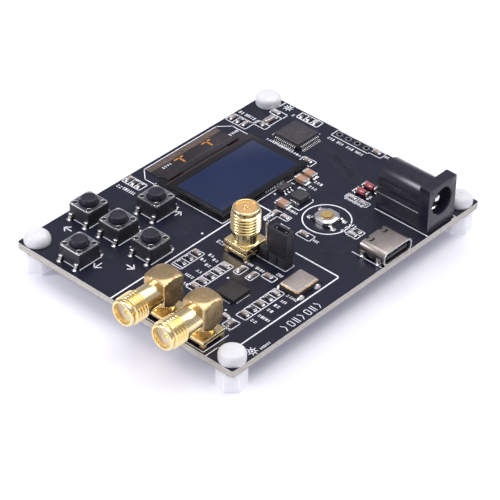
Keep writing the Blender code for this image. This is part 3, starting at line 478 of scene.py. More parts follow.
def piece(name, shapes, look, at=(0, 0), body="board", stands_for=(), sharp=32.0):
    """Puts shapes at a place, into one mesh in the row frame with its faces turned out, and makes it ride."""
    points, quads, caps = moved(joined(shapes), *at)
    mesh = bpy.data.meshes.new(name)
    mesh.from_pydata((points * MM + CORNER).tolist(), [], quads.tolist() + [cap.tolist() for cap in caps])
    form = bmesh.new()
    form.from_mesh(mesh)
    bmesh.ops.recalc_face_normals(form, faces=form.faces)
    form.to_mesh(mesh)
    form.free()
    mesh.shade_smooth()
    mesh.set_sharp_from_angle(angle=math.radians(sharp))
    mesh.materials.append(LOOKS[look])
    made = bpy.data.objects.new(name, mesh)
    bpy.context.scene.collection.objects.link(made)
    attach(made, body)
    if stands_for:
        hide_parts(*stands_for)
    return made


def dress(look, *names):
    """Gives CAD nodes a finish."""
    for name in names:
        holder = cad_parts[name]
        holder.data.materials.clear()
        holder.data.materials.append(LOOKS[look])


# Board, feet and screws

# corner: turn of the screw's cross in degrees, how far its head sits off its hole, the height where its
# wall ends, and the share of its radius that its shoulder takes
FEET = {"front_left": (20, -0.05, 0.0, 1.25, 0.3), "front_right": (50, 0.0, 0.0, 0.55, 0.62),
        "back_left": (75, 0.0, 0.0, 0.7, 0.55), "back_right": (35, 0.12, 0.15, 1.3, 0.3)}


def make_board():
    """The CAD board with its mask, holes lined in painted shade with bright rings, and tented vias."""
    dress("mask", "circuit_board")
    spare_x, spare_y = 1.35, 26.4
    spare = [(spare_x, spare_y + (step - 1.5) * PITCH) for step in range(4)]
    ring = band(0.63, 0.24, -0.01, 0.03, 24)
    piece("spare_header_pads", [copies(ring, spare), copies(moved(ring, z=-BOARD_THICKNESS - 0.02), spare)],
          "solder")
    # Painted shade inside the spare holes: a dark lining and a dark floor.
    lining = turned([(0.46, -BOARD_THICKNESS), (0.53, -BOARD_THICKNESS), (0.53, 0.0), (0.46, 0.0)], 24, False)
    floor = turned([(0.47, -0.75), (0.47, -0.7), (0.0, -0.7)], 24)
    piece("spare_header_hole_shade", [copies(lining, spare), copies(floor, spare)], "black_and_painted_shade")
    legs = [(x + px, y + py) for x, y in SWITCHES.values() for px, py in four(*SWITCH_LEGS)]
    field = np.random.default_rng(7).uniform([3, 3], [74, 57], (150, 2))
    keep = [tuple(p) for p in field if all(abs(p[0] - a) > 1.2 or abs(p[1] - b) > 1.2 for a, b in legs)]
    via = turned([(0.33, -0.01), (0.33, 0.012), (0.24, 0.02), (0.14, 0.008), (0.0, 0.0)], 12)
    piece("tented_vias", [copies(via, keep)], "copper")


def make_feet():
    """Nylon screws with their shanks, and the standoffs.

    A head's wall turns in through a quarter circle to a nearly flat top. A domed head turns in earlier
    and further. The height is that profile less a small cross, whose arms fade out at sides and tips.
    """
    dress("nylon", *("standoff_" + corner for corner in FEET))
    low, high = span("screw_back_right")
    reach, top = (high[0] - low[0]) / 2, 2.42
    ease = np.linspace(0, np.pi / 2, 14)
    angle = around(72)[None]
    shank = turned([(1.1, low[2]), (1.38, low[2] + 0.3), (1.38, 0.07)], 24)
    for corner, (turn, shift_x, shift_y, wall_top, inset) in FEET.items():
        wall = np.array([(0.985, 0.02), (0.998, 0.1), (1.0, 0.35), (1.0, wall_top - 0.15)])
        shoulder = np.stack([1 - inset * (1 - np.cos(ease)),
                             wall_top + (top - 0.1 - wall_top) * np.sin(ease)], 1)
        share = np.array([0.95, 0.9, 0.87, 0.8, 0.6, 0.4, 0.28, 0.18, 0.1, 0.03])
        crown = np.stack([(1 - inset) * share, top - np.array([0.08, 0.06, 0.09, 0.05, 0.03, 0.02, 0.015,
                                                               0.01, 0.005, 0.0])], 1)
        profile = np.concatenate([wall, shoulder, crown])
        radius = reach * profile[:, :1] * np.ones_like(angle)
        x, y = radius * np.cos(angle), radius * np.sin(angle)
        arm, far = np.minimum(np.abs(x), np.abs(y)), np.maximum(np.abs(x), np.abs(y))
        cut = np.clip((0.24 - arm) / 0.16, 0, 1) * np.clip((0.62 - far) / 0.25, 0, 1)
        head = skin(np.stack([x, y, profile[:, 1:] - 0.24 * cut], 2))
        name = "screw_" + corner
        x, y = centre(name)
        head_at = moved(spun(head, turn), x + shift_x, y + shift_y)
        piece(name + "_head", [head_at, moved(shank, x, y)], "screw_nylon", stands_for=(name,), sharp=60)


# Push buttons

SWITCHES = {name: tuple(centre("switch_" + name + "_plunger")) for name in ("up", "down", "left", "right",
                                                                            "centre")}


def switch_leg():
    """Leg that leaves the side, kinks outwards and drops into its hole."""
    path = eased([(2.7, 1.15), (3.12, 1.15), (3.42, 1.06), (3.3, 0.62), (3.68, 0.25), (3.7, -0.9),
                  (3.7, -2.9)], 2)
    return strip(path, 0.95, 0.26, ([0, 0.3, 0.6, 1.0], [1.05, 1.0, 0.85, 0.6]))


def make_switches():
    """Moulded bodies, steel plates with a rolled edge, rivets, painted highlights round the rivets and along
    the plates' edges, legs, solder and round buttons.
    """
    body = soft_box(5.95, 5.95, 0.08, 3.38, 0.28, 0.08, 3)
    skirt = soft_box(6.0, 6.0, 0.08, 0.75, 0.25, 0.06, 2)
    rivet = turned([(0.54, 3.2), (0.54, 3.665), (0.46, 3.7), (0.3, 3.715), (0.0, 3.72)], 20)
    # Painted highlight: a bright ring round each rivet.
    rivet_highlight_ring = turned([(0.68, 3.4), (0.68, 3.66), (0.65, 3.685), (0.59, 3.685), (0.54, 3.66), (0.54, 3.4)],
                       24, False)
    leg = switch_leg()
    fillet = turned([(0.6, 0.01), (0.52, 0.04), (0.38, 0.07), (0.3, 0.12), (0.22, 0.2), (0.0, 0.22)], 20)
    under = turned([(0.0, -3.02), (0.22, -3.0), (0.36, -2.5), (0.55, -1.9), (0.8, -1.62), (0.8, -1.59)], 20)
    cap = turned([(0.0, 2.6), (2.0, 2.6), (2.0, 3.1), (1.8, 3.1), (1.8, 4.45), (1.78, 4.62), (1.71, 4.77),
                  (1.6, 4.88), (1.45, 4.95), (1.28, 4.985), (1.1, 4.99), (0.8, 4.97), (0.4, 4.96),
                  (0.0, 4.955)], 64)
    corners = four(2.08, 2.08)
    feet = four(*SWITCH_LEGS)
    legs = [moved(spun(leg, turn), 0, row) for turn in (0, 180) for row in (-2.25, 2.25)]
    # The highlight rims are painted highlights round the rivets and along the plate's edge.
    rows = [("_body", [body, skirt], "black", "_base", 32), ("_rivets", [copies(rivet, corners)], "black_and_painted_shade",
                                                             None, 32), ("_legs", legs, "bright", None, 50),
            ("_plate", [cover_plate()], "cover", "_cover", 25), ("_highlight_rims",
                                                                 [copies(rivet_highlight_ring, corners), plate_edge_highlight()],
                                                                 "bright", None, 40),
            ("_solder", [copies(fillet, feet), copies(under, feet)], "solder", None, 60)]
    for name, (x, y) in SWITCHES.items():
        label = "switch_" + name
        for suffix, shapes, look, node_name, sharp in rows:
            stands_for = (label + node_name,) if node_name else ()
            piece(label + suffix, shapes, look, (x, y), "board", stands_for, sharp)
        piece(label + "_button", [cap], "button", (x, y), "button_" + name, (label + "_plunger",), 40)


def cover_plate():
    """Steel plate: a soft square outside, a round window inside, and rolled edges between them."""
    count = 96
    square = oval(2.95, 2.95, 11.0, count)
    window = oval(2.1, 2.1, 2.0, count)
    share = np.array([0.0, 0.0, 0.04, 0.08, 0.92, 0.97, 1.0, 1.0, 0.5])
    height = np.array([3.4, 3.58, 3.625, 3.65, 3.65, 3.63, 3.59, 3.4, 3.4])
    plan = square[None] * (1 - share)[:, None, None] + window[None] * share[:, None, None]
    return stacked(plan, height, False)


def plate_edge_highlight():
    """Painted highlight along the plate's edge: a thin bright ring whose outline is the plate's soft square.
    """
    size = np.array([2.955, 2.955, 2.93, 2.84, 2.8, 2.8])
    height = np.array([3.42, 3.6, 3.655, 3.668, 3.655, 3.42])
    plan = oval(1.0, 1.0, 11.0, 96)[None] * size[:, None, None]
    return stacked(plan, height, False)


def make_reset():
    """Low eight-sided metal button on four feet, with an amber actuator in a gold-tinted ring."""
    x, y = centre("reset_plunger")
    angle = around(48)
    reach = 1.0 / np.maximum.reduce([np.abs(np.cos(angle)), np.abs(np.sin(angle)),
                                     (np.abs(np.cos(angle)) + np.abs(np.sin(angle))) * 0.7071 / 1.06])
    rim = np.stack([np.cos(angle), np.sin(angle)], 1) * reach[:, None]
    size = np.array([2.42, 2.5, 2.5, 2.44, 2.34, 2.0, 1.92, 1.5, 1.44, 1.4, 1.4])
    flat = np.array([0.0, 0.0, 0.0, 0.0, 0.0, 0.1, 0.15, 0.8, 1.0, 1.0, 1.0])
    height = np.array([0.06, 0.12, 0.86, 0.95, 0.98, 1.16, 1.19, 1.22, 1.2, 1.12, 0.5])
    disc = np.stack([np.cos(angle), np.sin(angle)], 1)
    plan = size[:, None, None] * (rim[None] * (1 - flat)[:, None, None] + disc[None] * flat[:, None, None])
    shell = stacked(plan, height)
    piece("reset_shell", [shell], "bright", (x, y), stands_for=("reset_cover",), sharp=25)
    # Painted shade: dark lines in the creases of the shell's bevel.
    crease = chain((rim[6::12] * 2.03).tolist() + (rim[6:7] * 2.03).tolist(), 0.07)
    piece("reset_crease_shade", [bars(crease, 1.14, 1.172)], "black_and_painted_shade", (x, y))
    ring = turned([(1.6, 1.18), (1.6, 1.235), (1.52, 1.25), (1.24, 1.245), (1.18, 1.22), (1.18, 1.18)], 48,
                  False)
    piece("reset_inner_ring", [ring], "rim", (x, y), sharp=40)
    foot = strip(eased([(2.2, 0.5), (2.62, 0.5), (2.86, 0.16), (3.5, 0.13)], 2), 0.7, 0.16)
    base = soft_box(4.8, 4.8, 0.05, 0.4, 0.9, 0.05, 2)
    piece("reset_foundation", [base], "black", (x, y), stands_for=("reset_base",))
    feet = [moved(spun(foot, turn), row, 0) for turn in (90, -90) for row in (-1.85, 1.85)]
    piece("reset_feet", feet, "tin", (x, y), sharp=50)
    pad = soft_box(1.0, 1.2, 0.0, 0.09, 0.2, 0.08, 3)
    piece("reset_solder", [copies(pad, four(1.85, 3.2))], "solder", (x, y), sharp=60)
    rows, count = 18, 64
    t = np.linspace(0, 1, rows)[:, None]
    turn = around(count)[None]
    radius = np.maximum(1.12 * np.where(t < 0.3, 1, np.cos((t - 0.3) / 0.7 * np.pi / 2) ** 0.8), 0.01)
    radius = radius * np.ones_like(turn)
    lift = 1.22 + 0.2 * np.clip(t / 0.3, 0, 1) * np.ones_like(turn) + 0.03 * np.clip((t - 0.3) / 0.7, 0, 1)
    px, py = radius * np.cos(turn), radius * np.sin(turn)
    dents = sum(np.exp(-((px - 0.55 * math.cos(a)) ** 2 + (py - 0.55 * math.sin(a)) ** 2) / 0.04)
                for a in np.arange(4) * np.pi / 2 + 0.6)
    lift = lift - 0.22 * dents - 0.1 * np.exp(-(px ** 2 + py ** 2) / 0.03)
    lift[0] = 0.86
    cap = skin(np.stack([px, py, lift], 2))
    piece("reset_actuator", [cap], "actuator", (x, y), "button_reset", ("reset_plunger",), 60)


# Display

def make_display():
    """Two glass plates with a black border, a navy window, and a dark film tail on its pads."""
    low, high = span("display_glass")
    x, width = (low[0] + high[0]) / 2, high[0] - low[0]
    ledge = 2.7
    back_y = (low[1] + ledge + high[1]) / 2
    depth = high[1] - low[1] - ledge
    whole_y = (low[1] + high[1]) / 2
    lower = moved(soft_box(width, high[1] - low[1], 0.05, 0.76, 0.12, 0.05, 2), x, whole_y)
    upper = moved(soft_box(width, depth, 0.79, 1.4, 0.12, 0.06, 2), x, back_y)
    piece("display_plates", [lower, upper], "dark_glass", stands_for=("display_glass",), sharp=25)
    seal = moved(soft_box(width - 0.5, depth - 0.5, 0.74, 0.81, 0.1, 0.01, 2), x, back_y)
    piece("display_seal", [seal], "film")
    sheet = moved(soft_box(25.3, 14.8, 1.39, 1.47, 0.25, 0.03, 3), x, back_y + 0.35)
    piece("display_polariser", [sheet], "dark_glass", sharp=25)
    window = moved(soft_box(23.7, 13.0, 1.465, 1.485, 0.12, 0.008, 2), x + 0.1, 18.1)
    piece("display_window", [window], "screen")
    edge = soft_box(width - 0.3, 0.12, 1.36, 1.43, 0.03, 0.02, 2)
    piece("display_edge_line", [edge], "rust", (x, low[1] + ledge + 0.05))
    chip = moved(soft_box(14.0, 1.3, 0.76, 0.86, 0.08, 0.03, 2), x, low[1] + 1.75)
    piece("display_driver", [chip], "black_and_painted_shade")
    tail_low, tail_high = span("display_flex")
    middle = (tail_low[0] + tail_high[0]) / 2
    path = eased([(tail_low[1] + 0.05, 0.1), (4.0, 0.1), (5.9, 0.12), (6.35, 0.45), (6.75, 0.93),
                  (7.4, 0.96), (tail_high[1] - 0.1, 0.95)], 3)
    tail = laid(strip(path, tail_high[0] - tail_low[0], 0.13), "102")
    piece("display_tail", [tail], "film", (middle, 0), stands_for=("display_flex",), sharp=50)
    strip_bar = soft_box(22.0, 1.55, 0.1, 0.19, 0.1, 0.03, 2)
    piece("display_tin_strip", [strip_bar], "tan", (middle, tail_low[1] + 0.83), sharp=60)
    lanes = bars([(lane, 0.15, lane, 1.5, 0.1) for lane in np.linspace(-10.4, 10.4, 30)], 0.185, 0.2)
    piece("display_tail_lanes", [lanes], "film", (middle, tail_low[1]))
    marks = []
    for mark_x in (23.9, 32.5):
        marks += [(mark_x, 3.3, mark_x, 6.1, 0.5), (mark_x - 1.2, 3.45, mark_x + 1.5, 3.45, 0.42)]
    piece("display_tail_marks", [bars(marks, 0.165, 0.19)], "amber")


# Chips

def make_microcontroller():
    """Moulded square body with a parting step, 48 bent leads, and light etched marks."""
    x, y = centre("microcontroller")
    lower = soft_box(7.0, 7.0, 0.12, 0.86, 0.28, 0.03, 2)
    upper = soft_box(6.98, 6.98, 0.8, 1.5, 0.3, 0.05, 3, draft=0.1)
    dimple = turned([(0.55, 1.46), (0.55, 1.503), (0.5, 1.508), (0.46, 1.503)], 28)
    piece("microcontroller_body", (lower, upper, dimple), "epoxy", (x, y), stands_for=("microcontroller",),
          sharp=25)
    path = eased([(3.3, 0.83), (3.78, 0.83), (3.98, 0.7), (4.04, 0.2), (4.2, 0.1), (4.6, 0.1)], 2)
    lead = strip(path, 0.19, 0.13)
    toe = soft_box(0.55, 0.2, 0.0, 0.06, 0.05, 0.04, 2)
    steps = [(step - 5.5) * 0.5 for step in range(12)]
    leads = [spun(copies(lead, [(0.0, step) for step in steps]), turn) for turn in (0, 90, 180, 270)]
    toes = [spun(copies(toe, [(4.5, step) for step in steps]), turn) for turn in (0, 90, 180, 270)]
    piece("microcontroller_leads", leads, "tin", (x, y), sharp=50)
    piece("microcontroller_solder", toes, "solder", (x, y))
    rows = []
    for row in range(3):
        rows += scribble(x - 2.1, y + 0.9 - row * 0.9, 8, 0.42, 0.5, 0.06, 11 + row)
    piece("microcontroller_etching", [bars(rows, 1.49, 1.506)], "etch")


def make_synthesizer():
    """Flat square chip without leads: only small bright toes show past its four sides."""
    x, y = centre("synthesizer_chip")
    body = soft_box(5.0, 5.0, 0.04, 0.85, 0.06, 0.03, 2)
    piece("synthesizer_body", [body], "brown_epoxy", (x, y), stands_for=("synthesizer_chip",), sharp=25)
    pad = soft_box(0.36, 0.26, 0.0, 0.1, 0.05, 0.05, 2)
    pads = [spun(copies(pad, [(2.84, (step - 3.5) * 0.5) for step in range(8)]), turn)
            for turn in (0, 90, 180, 270)]
    piece("synthesizer_pads", pads, "pale_solder_and_highlight", (x, y))
    rows = []
    for row in range(4):
        rows += scribble(x - 1.5, y + 1.0 - row * 0.7, 7, 0.38, 0.42, 0.05, 31 + row)
    ring = moved(band(0.22, 0.08, 0.84, 0.856, 20), x - 1.8, y - 1.8)
    piece("synthesizer_etching", [bars(rows, 0.84, 0.856), ring], "faint_etch")


def make_oscillator():
    """Ceramic base, a thin gold weld rim, a domed lid, and solder at its four corners."""
    low, high = span("oscillator")
    x, y = (low + high)[:2] / 2
    size = (high - low)[:2]
    base = soft_box(size[0], size[1], 0.06, 1.18, 0.25, 0.04, 3)
    piece("oscillator_base", [base], "ceramic_side", (x, y), stands_for=("oscillator",), sharp=25)
    rim = soft_box(size[0] - 0.08, size[1] - 0.08, 1.02, 1.34, 0.3, 0.05, 3)
    piece("oscillator_rim", [rim], "rim", (x, y), sharp=40)
    lid = soft_box(size[0] - 0.36, size[1] - 0.36, 1.28, 1.58, 0.4, 0.16, 5)
    piece("oscillator_lid", [lid], "lid", (x, y), sharp=40)
    blob = turned([(0.9, 0.0), (0.82, 0.08), (0.62, 0.24), (0.42, 0.46), (0.22, 0.58), (0.0, 0.6)], 24)
    blob = (blob[0] * np.array([1.0, 0.75, 1.0]), blob[1], blob[2])
    pads = [(sx * 2.5, sy * (size[1] / 2 + 0.15)) for sx in (-1, 1) for sy in (-1, 1)]
    piece("oscillator_solder", [copies(blob, pads)], "pale_solder_and_highlight", (x, y), sharp=60)
    rows = scribble(x - 1.9, y + 0.5, 7, 0.5, 0.6, 0.05, 51) + scribble(x - 1.4, y - 0.8, 5, 0.5, 0.6, 0.05,
                                                                        52)
    piece("oscillator_etching", [bars(rows, 1.575, 1.584)], "lid_etch")


def make_regulator():
    """Small moulded block with three bent leads on each long side."""
    x, y = centre("regulator")
    body = soft_box(2.9, 1.6, 0.1, 1.08, 0.1, 0.05, 2, draft=0.06)
    piece("regulator_body", [body], "epoxy", (x, y), stands_for=("regulator",), sharp=25)
    lead = strip(eased([(0.7, 0.6), (0.98, 0.6), (1.1, 0.14), (1.42, 0.1)], 2), 0.4, 0.13)
    leads = [moved(spun(lead, turn), step * 0.95) for turn in (90, -90) for step in (-1, 0, 1)]
    piece("regulator_leads", leads, "tin", (x, y))
    toe = soft_box(0.55, 0.5, 0.0, 0.16, 0.12, 0.12, 3)
    toes = [(step * 0.95, side * 1.45) for step in (-1, 0, 1) for side in (-1, 1)]
    piece("regulator_solder", [copies(toe, toes)], "solder", (x, y), sharp=60)


def make_crystal():
    """Small silver can on a pale ceramic tray, with solder at its ends."""
    x, y = centre("small_crystal")
    base = soft_box(3.2, 1.25, 0.04, 0.55, 0.15, 0.03, 2)
    piece("small_crystal_base", [base], "pale_ceramic", (x, y), stands_for=("small_crystal",), sharp=25)
    lid = soft_box(2.95, 1.05, 0.5, 0.79, 0.25, 0.08, 3)
    piece("small_crystal_lid", [lid], "bright", (x, y), sharp=40)
    pad = soft_box(0.8, 0.75, 0.0, 0.2, 0.15, 0.14, 3)
    pads = four(1.6, 0.5)
    piece("small_crystal_solder", [copies(pad, pads)], "pale_solder_and_highlight", (x, y), sharp=60)


def make_inductor():
    """Ferrite block with rounded corners, a low round boss, and solder at both ends."""
    x, y = centre("power_inductor")
    body = soft_box(3.3, 3.2, 0.06, 1.38, 0.55, 0.12, 4)
    boss = turned([(1.35, 1.3), (1.35, 1.4), (1.28, 1.46), (1.15, 1.49), (0.0, 1.49)], 40)
    piece("power_inductor_body", [body, boss], "ferrite", (x, y), stands_for=("power_inductor",), sharp=40)
    pad = soft_box(0.9, 2.6, 0.0, 0.32, 0.1, 0.08, 3)
    piece("power_inductor_pads", [copies(pad, [(-1.45, 0.0), (1.45, 0.0)])], "solder", (x, y))


def make_diodes():
    """Glass tubes that lie along Y between tinned end caps."""
    glass = turned([(0.68, -1.25), (0.7, -1.2), (0.7, 1.2), (0.68, 1.25)], 32)
    end = turned([(0.0, -1.7), (0.66, -1.7), (0.76, -1.66), (0.78, -1.58), (0.78, -1.26), (0.74, -1.2),
                  (0.6, -1.2)], 32)
    other = turned([(0.6, 1.2), (0.74, 1.2), (0.78, 1.26), (0.78, 1.58), (0.76, 1.66), (0.66, 1.7),
                    (0.0, 1.7)], 32)
    stripe = turned([(0.7, 0.75), (0.712, 0.77), (0.712, 1.12), (0.7, 1.14)], 32)
    heel = soft_box(1.5, 0.7, 0.0, 0.35, 0.2, 0.18, 3)
    for name in ("diode_1", "diode_2"):
        x, y = centre(name)
        height = 0.83
        piece(name + "_glass", [laid(glass, "021")], "red_glass", (x, y, height), stands_for=(name,))
        piece(name + "_ends", [moved(laid(s, "021"), x, y, height) for s in (end, other)], "nickel")
        piece(name + "_stripe", [laid(stripe, "021")], "black_and_painted_shade", (x, y, height))
        piece(name + "_solder", [copies(heel, [(0, -1.75), (0, 1.75)])], "solder", (x, y), sharp=60)


def chip_shapes(length, width, height, cap):
    """A chip part along X: its body, its two wrapped ends and its solder."""
    body = soft_box(length - 0.06, width - 0.04, 0.06, height - 0.03, 0.06, 0.04, 2)
    ends = soft_box(cap, width, 0.04, height, 0.08, 0.06, 2)
    ends = copies(ends, [(-(length - cap) / 2, 0.0), ((length - cap) / 2, 0.0)])
    heel = soft_box(cap * 0.9 + 0.25, width * 1.02, 0.0, height * 0.45, 0.12, min(0.2, height * 0.3), 3)
    heels = copies(heel, [(-(length + 0.1) / 2, 0.0), ((length + 0.1) / 2, 0.0)])
    return body, ends, heels


def make_bulk_capacitors():
    """Three large chip capacitors, turned along Y."""
    body, ends, heels = chip_shapes(3.1, 1.75, 1.2, 0.55)
    for name in ("bulk_capacitor_1", "bulk_capacitor_2", "bulk_capacitor_3"):
        x, y = centre(name)
        piece(name + "_body", [spun(body, 90)], "capacitor", (x, y), stands_for=(name,))
        piece(name + "_ends", [spun(ends, 90)], "tin", (x, y), sharp=45)
        piece(name + "_solder", [spun(heels, 90)], "solder", (x, y), sharp=60)


CHIPS = {
    # kind: (look, length, width, height, rows of x, y, turn)
    "ceramic_chips": ("pale_ceramic", 1.6, 0.85, 0.75, [
        (12.75, 1.35, 0), (12.75, 5.0, 0), (14.0, 24.3, 90), (45.6, 1.3, 0), (52.4, 39.8, 0),
        (52.2, 42.8, 0), (62.7, 36.7, 90), (60.4, 36.7, 90), (57.8, 50.0, 90), (62.4, 50.0, 90),
        (66.5, 50.0, 0), (54.4, 29.4, 90), (34.5, 41.2, 90), (33.2, 32.0, 0), (1.25, 33.0, 90),
        (50.1, 45.3, 90)]),
    "resistor_chips": ("resistor", 1.6, 0.85, 0.45, [
        (12.75, 3.15, 0), (10.5, 7.2, 90), (23.4, 27.6, 0), (45.6, 3.0, 0), (45.6, 4.6, 0),
        (58.1, 36.7, 90), (55.4, 50.0, 90), (60.1, 50.0, 90), (56.6, 29.4, 90), (58.8, 29.4, 90),
        (26.0, 48.4, 90), (1.6, 12.1, 0), (1.6, 14.0, 0)]),
    "pale_chips": ("alumina", 1.6, 0.85, 0.55, [
        (4.6, 6.7, 90), (35.3, 31.9, 0), (32.6, 34.2, 90), (53.6, 36.7, 90), (55.9, 36.7, 90),
        (53.1, 50.0, 90), (65.4, 47.7, 90), (27.4, 48.4, 90), (17.5, 39.9, 90), (17.5, 42.9, 90),
        (1.6, 15.9, 0)]),
}


def make_chips():
    """Chip resistors, capacitors and lamps, each kind as one piece with its ends and solder apart."""
    all_ends, all_heels = [], []
    for name, (look, length, width, height, rows) in CHIPS.items():
        body, ends, heels = chip_shapes(length, width, height, 0.34)
        bodies = []
        for x, y, turn in rows:
            bodies.append(moved(spun(body, turn), x, y))
            all_ends.append(moved(spun(ends, turn), x, y))
            all_heels.append(moved(spun(heels, turn), x, y))
        piece(name, bodies, look)
    piece("chip_ends", all_ends, "tin", sharp=45)
    piece("chip_solder", all_heels, "solder", sharp=60)


# Header

def make_header():
    """Moulded strip of three cells, its square posts, a hollow jumper cap, and solder below."""
    x, y = centre("header_strip")
    cell = oval(1.27, 1.25, 5.0, 40)
    inset = np.array([0.94, 1.0, 1.0, 0.93])
    block = stacked(cell[None] * inset[:, None, None], [0.05, 0.12, 2.35, 2.5])
    rows = [(0.0, step * PITCH) for step in (-1, 0, 1)]
    waist = soft_box(1.9, 7.3, 0.06, 2.46, 0.2, 0.05, 2)
    piece("header_blocks", [copies(block, rows), waist], "black", (x, y), stands_for=("header_strip",),
          sharp=40)
    for index in (1, 2, 3):
        name = "header_pin_%d" % index
        pin_low, pin_high = span(name)
        px, py = (pin_low + pin_high)[:2] / 2
        top = pin_high[2]
        size = np.array([0.4, 1.0, 1.0, 0.45]) * 0.32
        height = np.array([pin_low[2], pin_low[2] + 0.4, top - 0.5, top])
        plan = outline(1, 1, 0.12, 2)[None] * size[:, None, None]
        tall = np.broadcast_to(height[:, None, None], plan.shape[:2] + (1,))
        piece(name + "_post", [skin(np.concatenate([plan, tall], 2))], "bright", (px, py), stands_for=(name,),
              sharp=40)
    cap_low, cap_high = span("jumper_cap")
    cx, cy = (cap_low + cap_high)[:2] / 2
    size_x, size_y = (cap_high - cap_low)[:2] / 2
    share = [(0, 0.96, cap_low[2]), (0, 1.0, cap_low[2] + 0.1), (0, 1.0, cap_high[2] - 0.15),
             (0, 0.95, cap_high[2]), (1, 1.06, cap_high[2]), (1, 1.0, cap_high[2] - 0.12),
             (1, 1.0, cap_low[2])]
    loops = []
    for inner, scale, height in share:
        half = (size_x, size_y) if not inner else (0.55, 1.8)
        ring = outline(half[0], half[1], 0.25, 3) * scale
        loops.append(np.concatenate([ring, np.full((len(ring), 1), height)], 1))
    shell = skin(np.array(loops), False)
    piece("jumper_shell", [shell], "black", (cx, cy), stands_for=("jumper_cap",), sharp=40)
    fillet = turned([(0.8, 0.0), (0.0, 0.01)], 16)
    under = turned([(0.0, -3.0), (0.25, -2.98), (0.38, -2.4), (0.6, -1.85), (0.85, -1.6), (0.85, -1.58)], 20)
    piece("header_solder", [copies(under, rows), copies(fillet, rows)], "solder", (x, y), sharp=60)


# Coaxial connectors

THREAD_PITCH = 0.7


def barrel(start, length, neck_length, lip=0.9, count=72):
    """Outside and mouth of a connector as one grid over (length, angle).

    The outside radius is the profile less a saw-tooth of the turn-shifted length, so the ridge climbs
    one pitch for each turn. Past the lip the grid turns in, through the mouth, to the insulator.
    """
    end = start + length
    neck = start + neck_length
    land = end - lip
    outside = np.unique(np.concatenate([np.array([start, start + 0.3, start + 0.9, neck]),
                                        np.arange(neck, land, THREAD_PITCH / 10), np.array([land])]))
    angle = around(count)
    base = np.interp(outside, [start, neck - 0.01, neck + 0.12, land - 0.12, land],
                     [2.75, 2.75, 3.16, 3.16, 2.8])
    phase = np.mod(outside[:, None] / THREAD_PITCH - angle[None] / (2 * np.pi), 1.0)
    ridge = np.clip(np.abs(phase * 2 - 1) * 1.45 - 0.12, 0, 1)
    inside = (outside > neck + 0.02) & (outside < land - 0.02)
    radius = base[:, None] - 0.46 * ridge * inside[:, None]
    along = outside[:, None] * np.ones_like(radius)
    tail = np.array([(2.85, land + 0.06), (2.87, end - 0.42), (2.85, end - 0.26), (2.79, end - 0.13),
                     (2.69, end - 0.04), (2.56, end), (2.4, end), (2.32, end - 0.04), (2.28, end - 0.14),
                     (2.28, end - 1.25), (2.22, end - 1.3), (2.06, end - 1.3)])
    radius = np.concatenate([radius, tail[:, :1] * np.ones((1, count))])
    along = np.concatenate([along, tail[:, 1:] * np.ones((1, count))])
    loops = np.stack([radius * np.cos(angle), radius * np.sin(angle), along], 2)
    return skin(loops)


def mouth_pieces(end, sunk=1.24):
    """Insulator face with a stepped recess, the split socket contact, and a disc of painted shade inside the
    contact.
    """
    face = turned([(2.27, end - sunk - 0.1), (2.25, end - sunk), (0.85, end - sunk), (0.8, end - sunk - 0.06),
                   (0.8, end - sunk - 0.3)], 48)
    contact = turned([(0.66, end - sunk - 0.36), (0.66, end - sunk + 0.12), (0.62, end - sunk + 0.16),
                      (0.52, end - sunk + 0.17), (0.47, end - sunk + 0.14), (0.45, end - sunk + 0.04),
                      (0.45, end - sunk - 0.3)], 32)
    # Painted shade: a dark disc deep inside the contact.
    hole = turned([(0.45, end - sunk - 0.2), (0.0, end - sunk - 0.2)], 32)
    return face, contact, hole


def make_upright_sma():
    """Threaded barrel on two square plates, with four square legs."""
    x, y = centre("upright_sma_insulator")
    end = span("upright_sma_shell")[1][2]
    shell = barrel(end - SMA_BARREL, SMA_BARREL, 2.9, 1.0)
    upper = soft_box(6.35, 6.35, 1.75, 2.95, 0.16, 0.06, 3)
    lower = soft_box(6.35, 6.35, 0.62, 1.5, 0.16, 0.06, 3)
    collar = turned([(2.95, 2.9), (2.95, 3.02), (2.8, 3.1), (2.75, 3.3)], 48)
    leg = soft_box(0.95, 0.95, -3.0, 1.2, 0.1, 0.08, 2)
    corners = four(PITCH, PITCH)
    shapes = [shell, collar, upper, lower, copies(leg, corners)]
    piece("upright_sma_body", shapes, "gold", (x, y), stands_for=("upright_sma_shell",), sharp=40)
    waist = soft_box(5.9, 5.9, 1.4, 1.9, 0.16, 0.03, 2)
    piece("upright_sma_waist", [waist], "dark_gold", (x, y), sharp=40)
    face, contact, hole = mouth_pieces(end, 0.3)
    piece("upright_sma_face", [face], "warm_face", (x, y), stands_for=("upright_sma_insulator",))
    pin = turned([(0.45, -3.0), (0.5, -2.8), (0.5, 1.2)], 20)
    piece("upright_sma_socket", [contact, pin], "gold", (x, y), stands_for=("upright_sma_contact",))
    piece("upright_sma_socket_shade", [hole], "black_and_painted_shade", (x, y))
    sma_solder("upright_sma", x, y)


def sma_solder(name, x, y):
    """Solder round a connector's corner legs and centre pin, under the board."""
    corners = four(PITCH, PITCH)
    below = turned([(0.0, -3.1), (0.45, -3.08), (0.72, -2.6), (0.95, -1.95), (1.25, -1.62), (1.25, -1.58)],
                   24)
    pin = turned([(0.0, -3.1), (0.42, -3.05), (0.62, -2.4), (1.0, -1.64), (1.0, -1.58)], 24)
    piece(name + "_solder", (copies(below, corners), pin), "solder", (x, y), sharp=60)


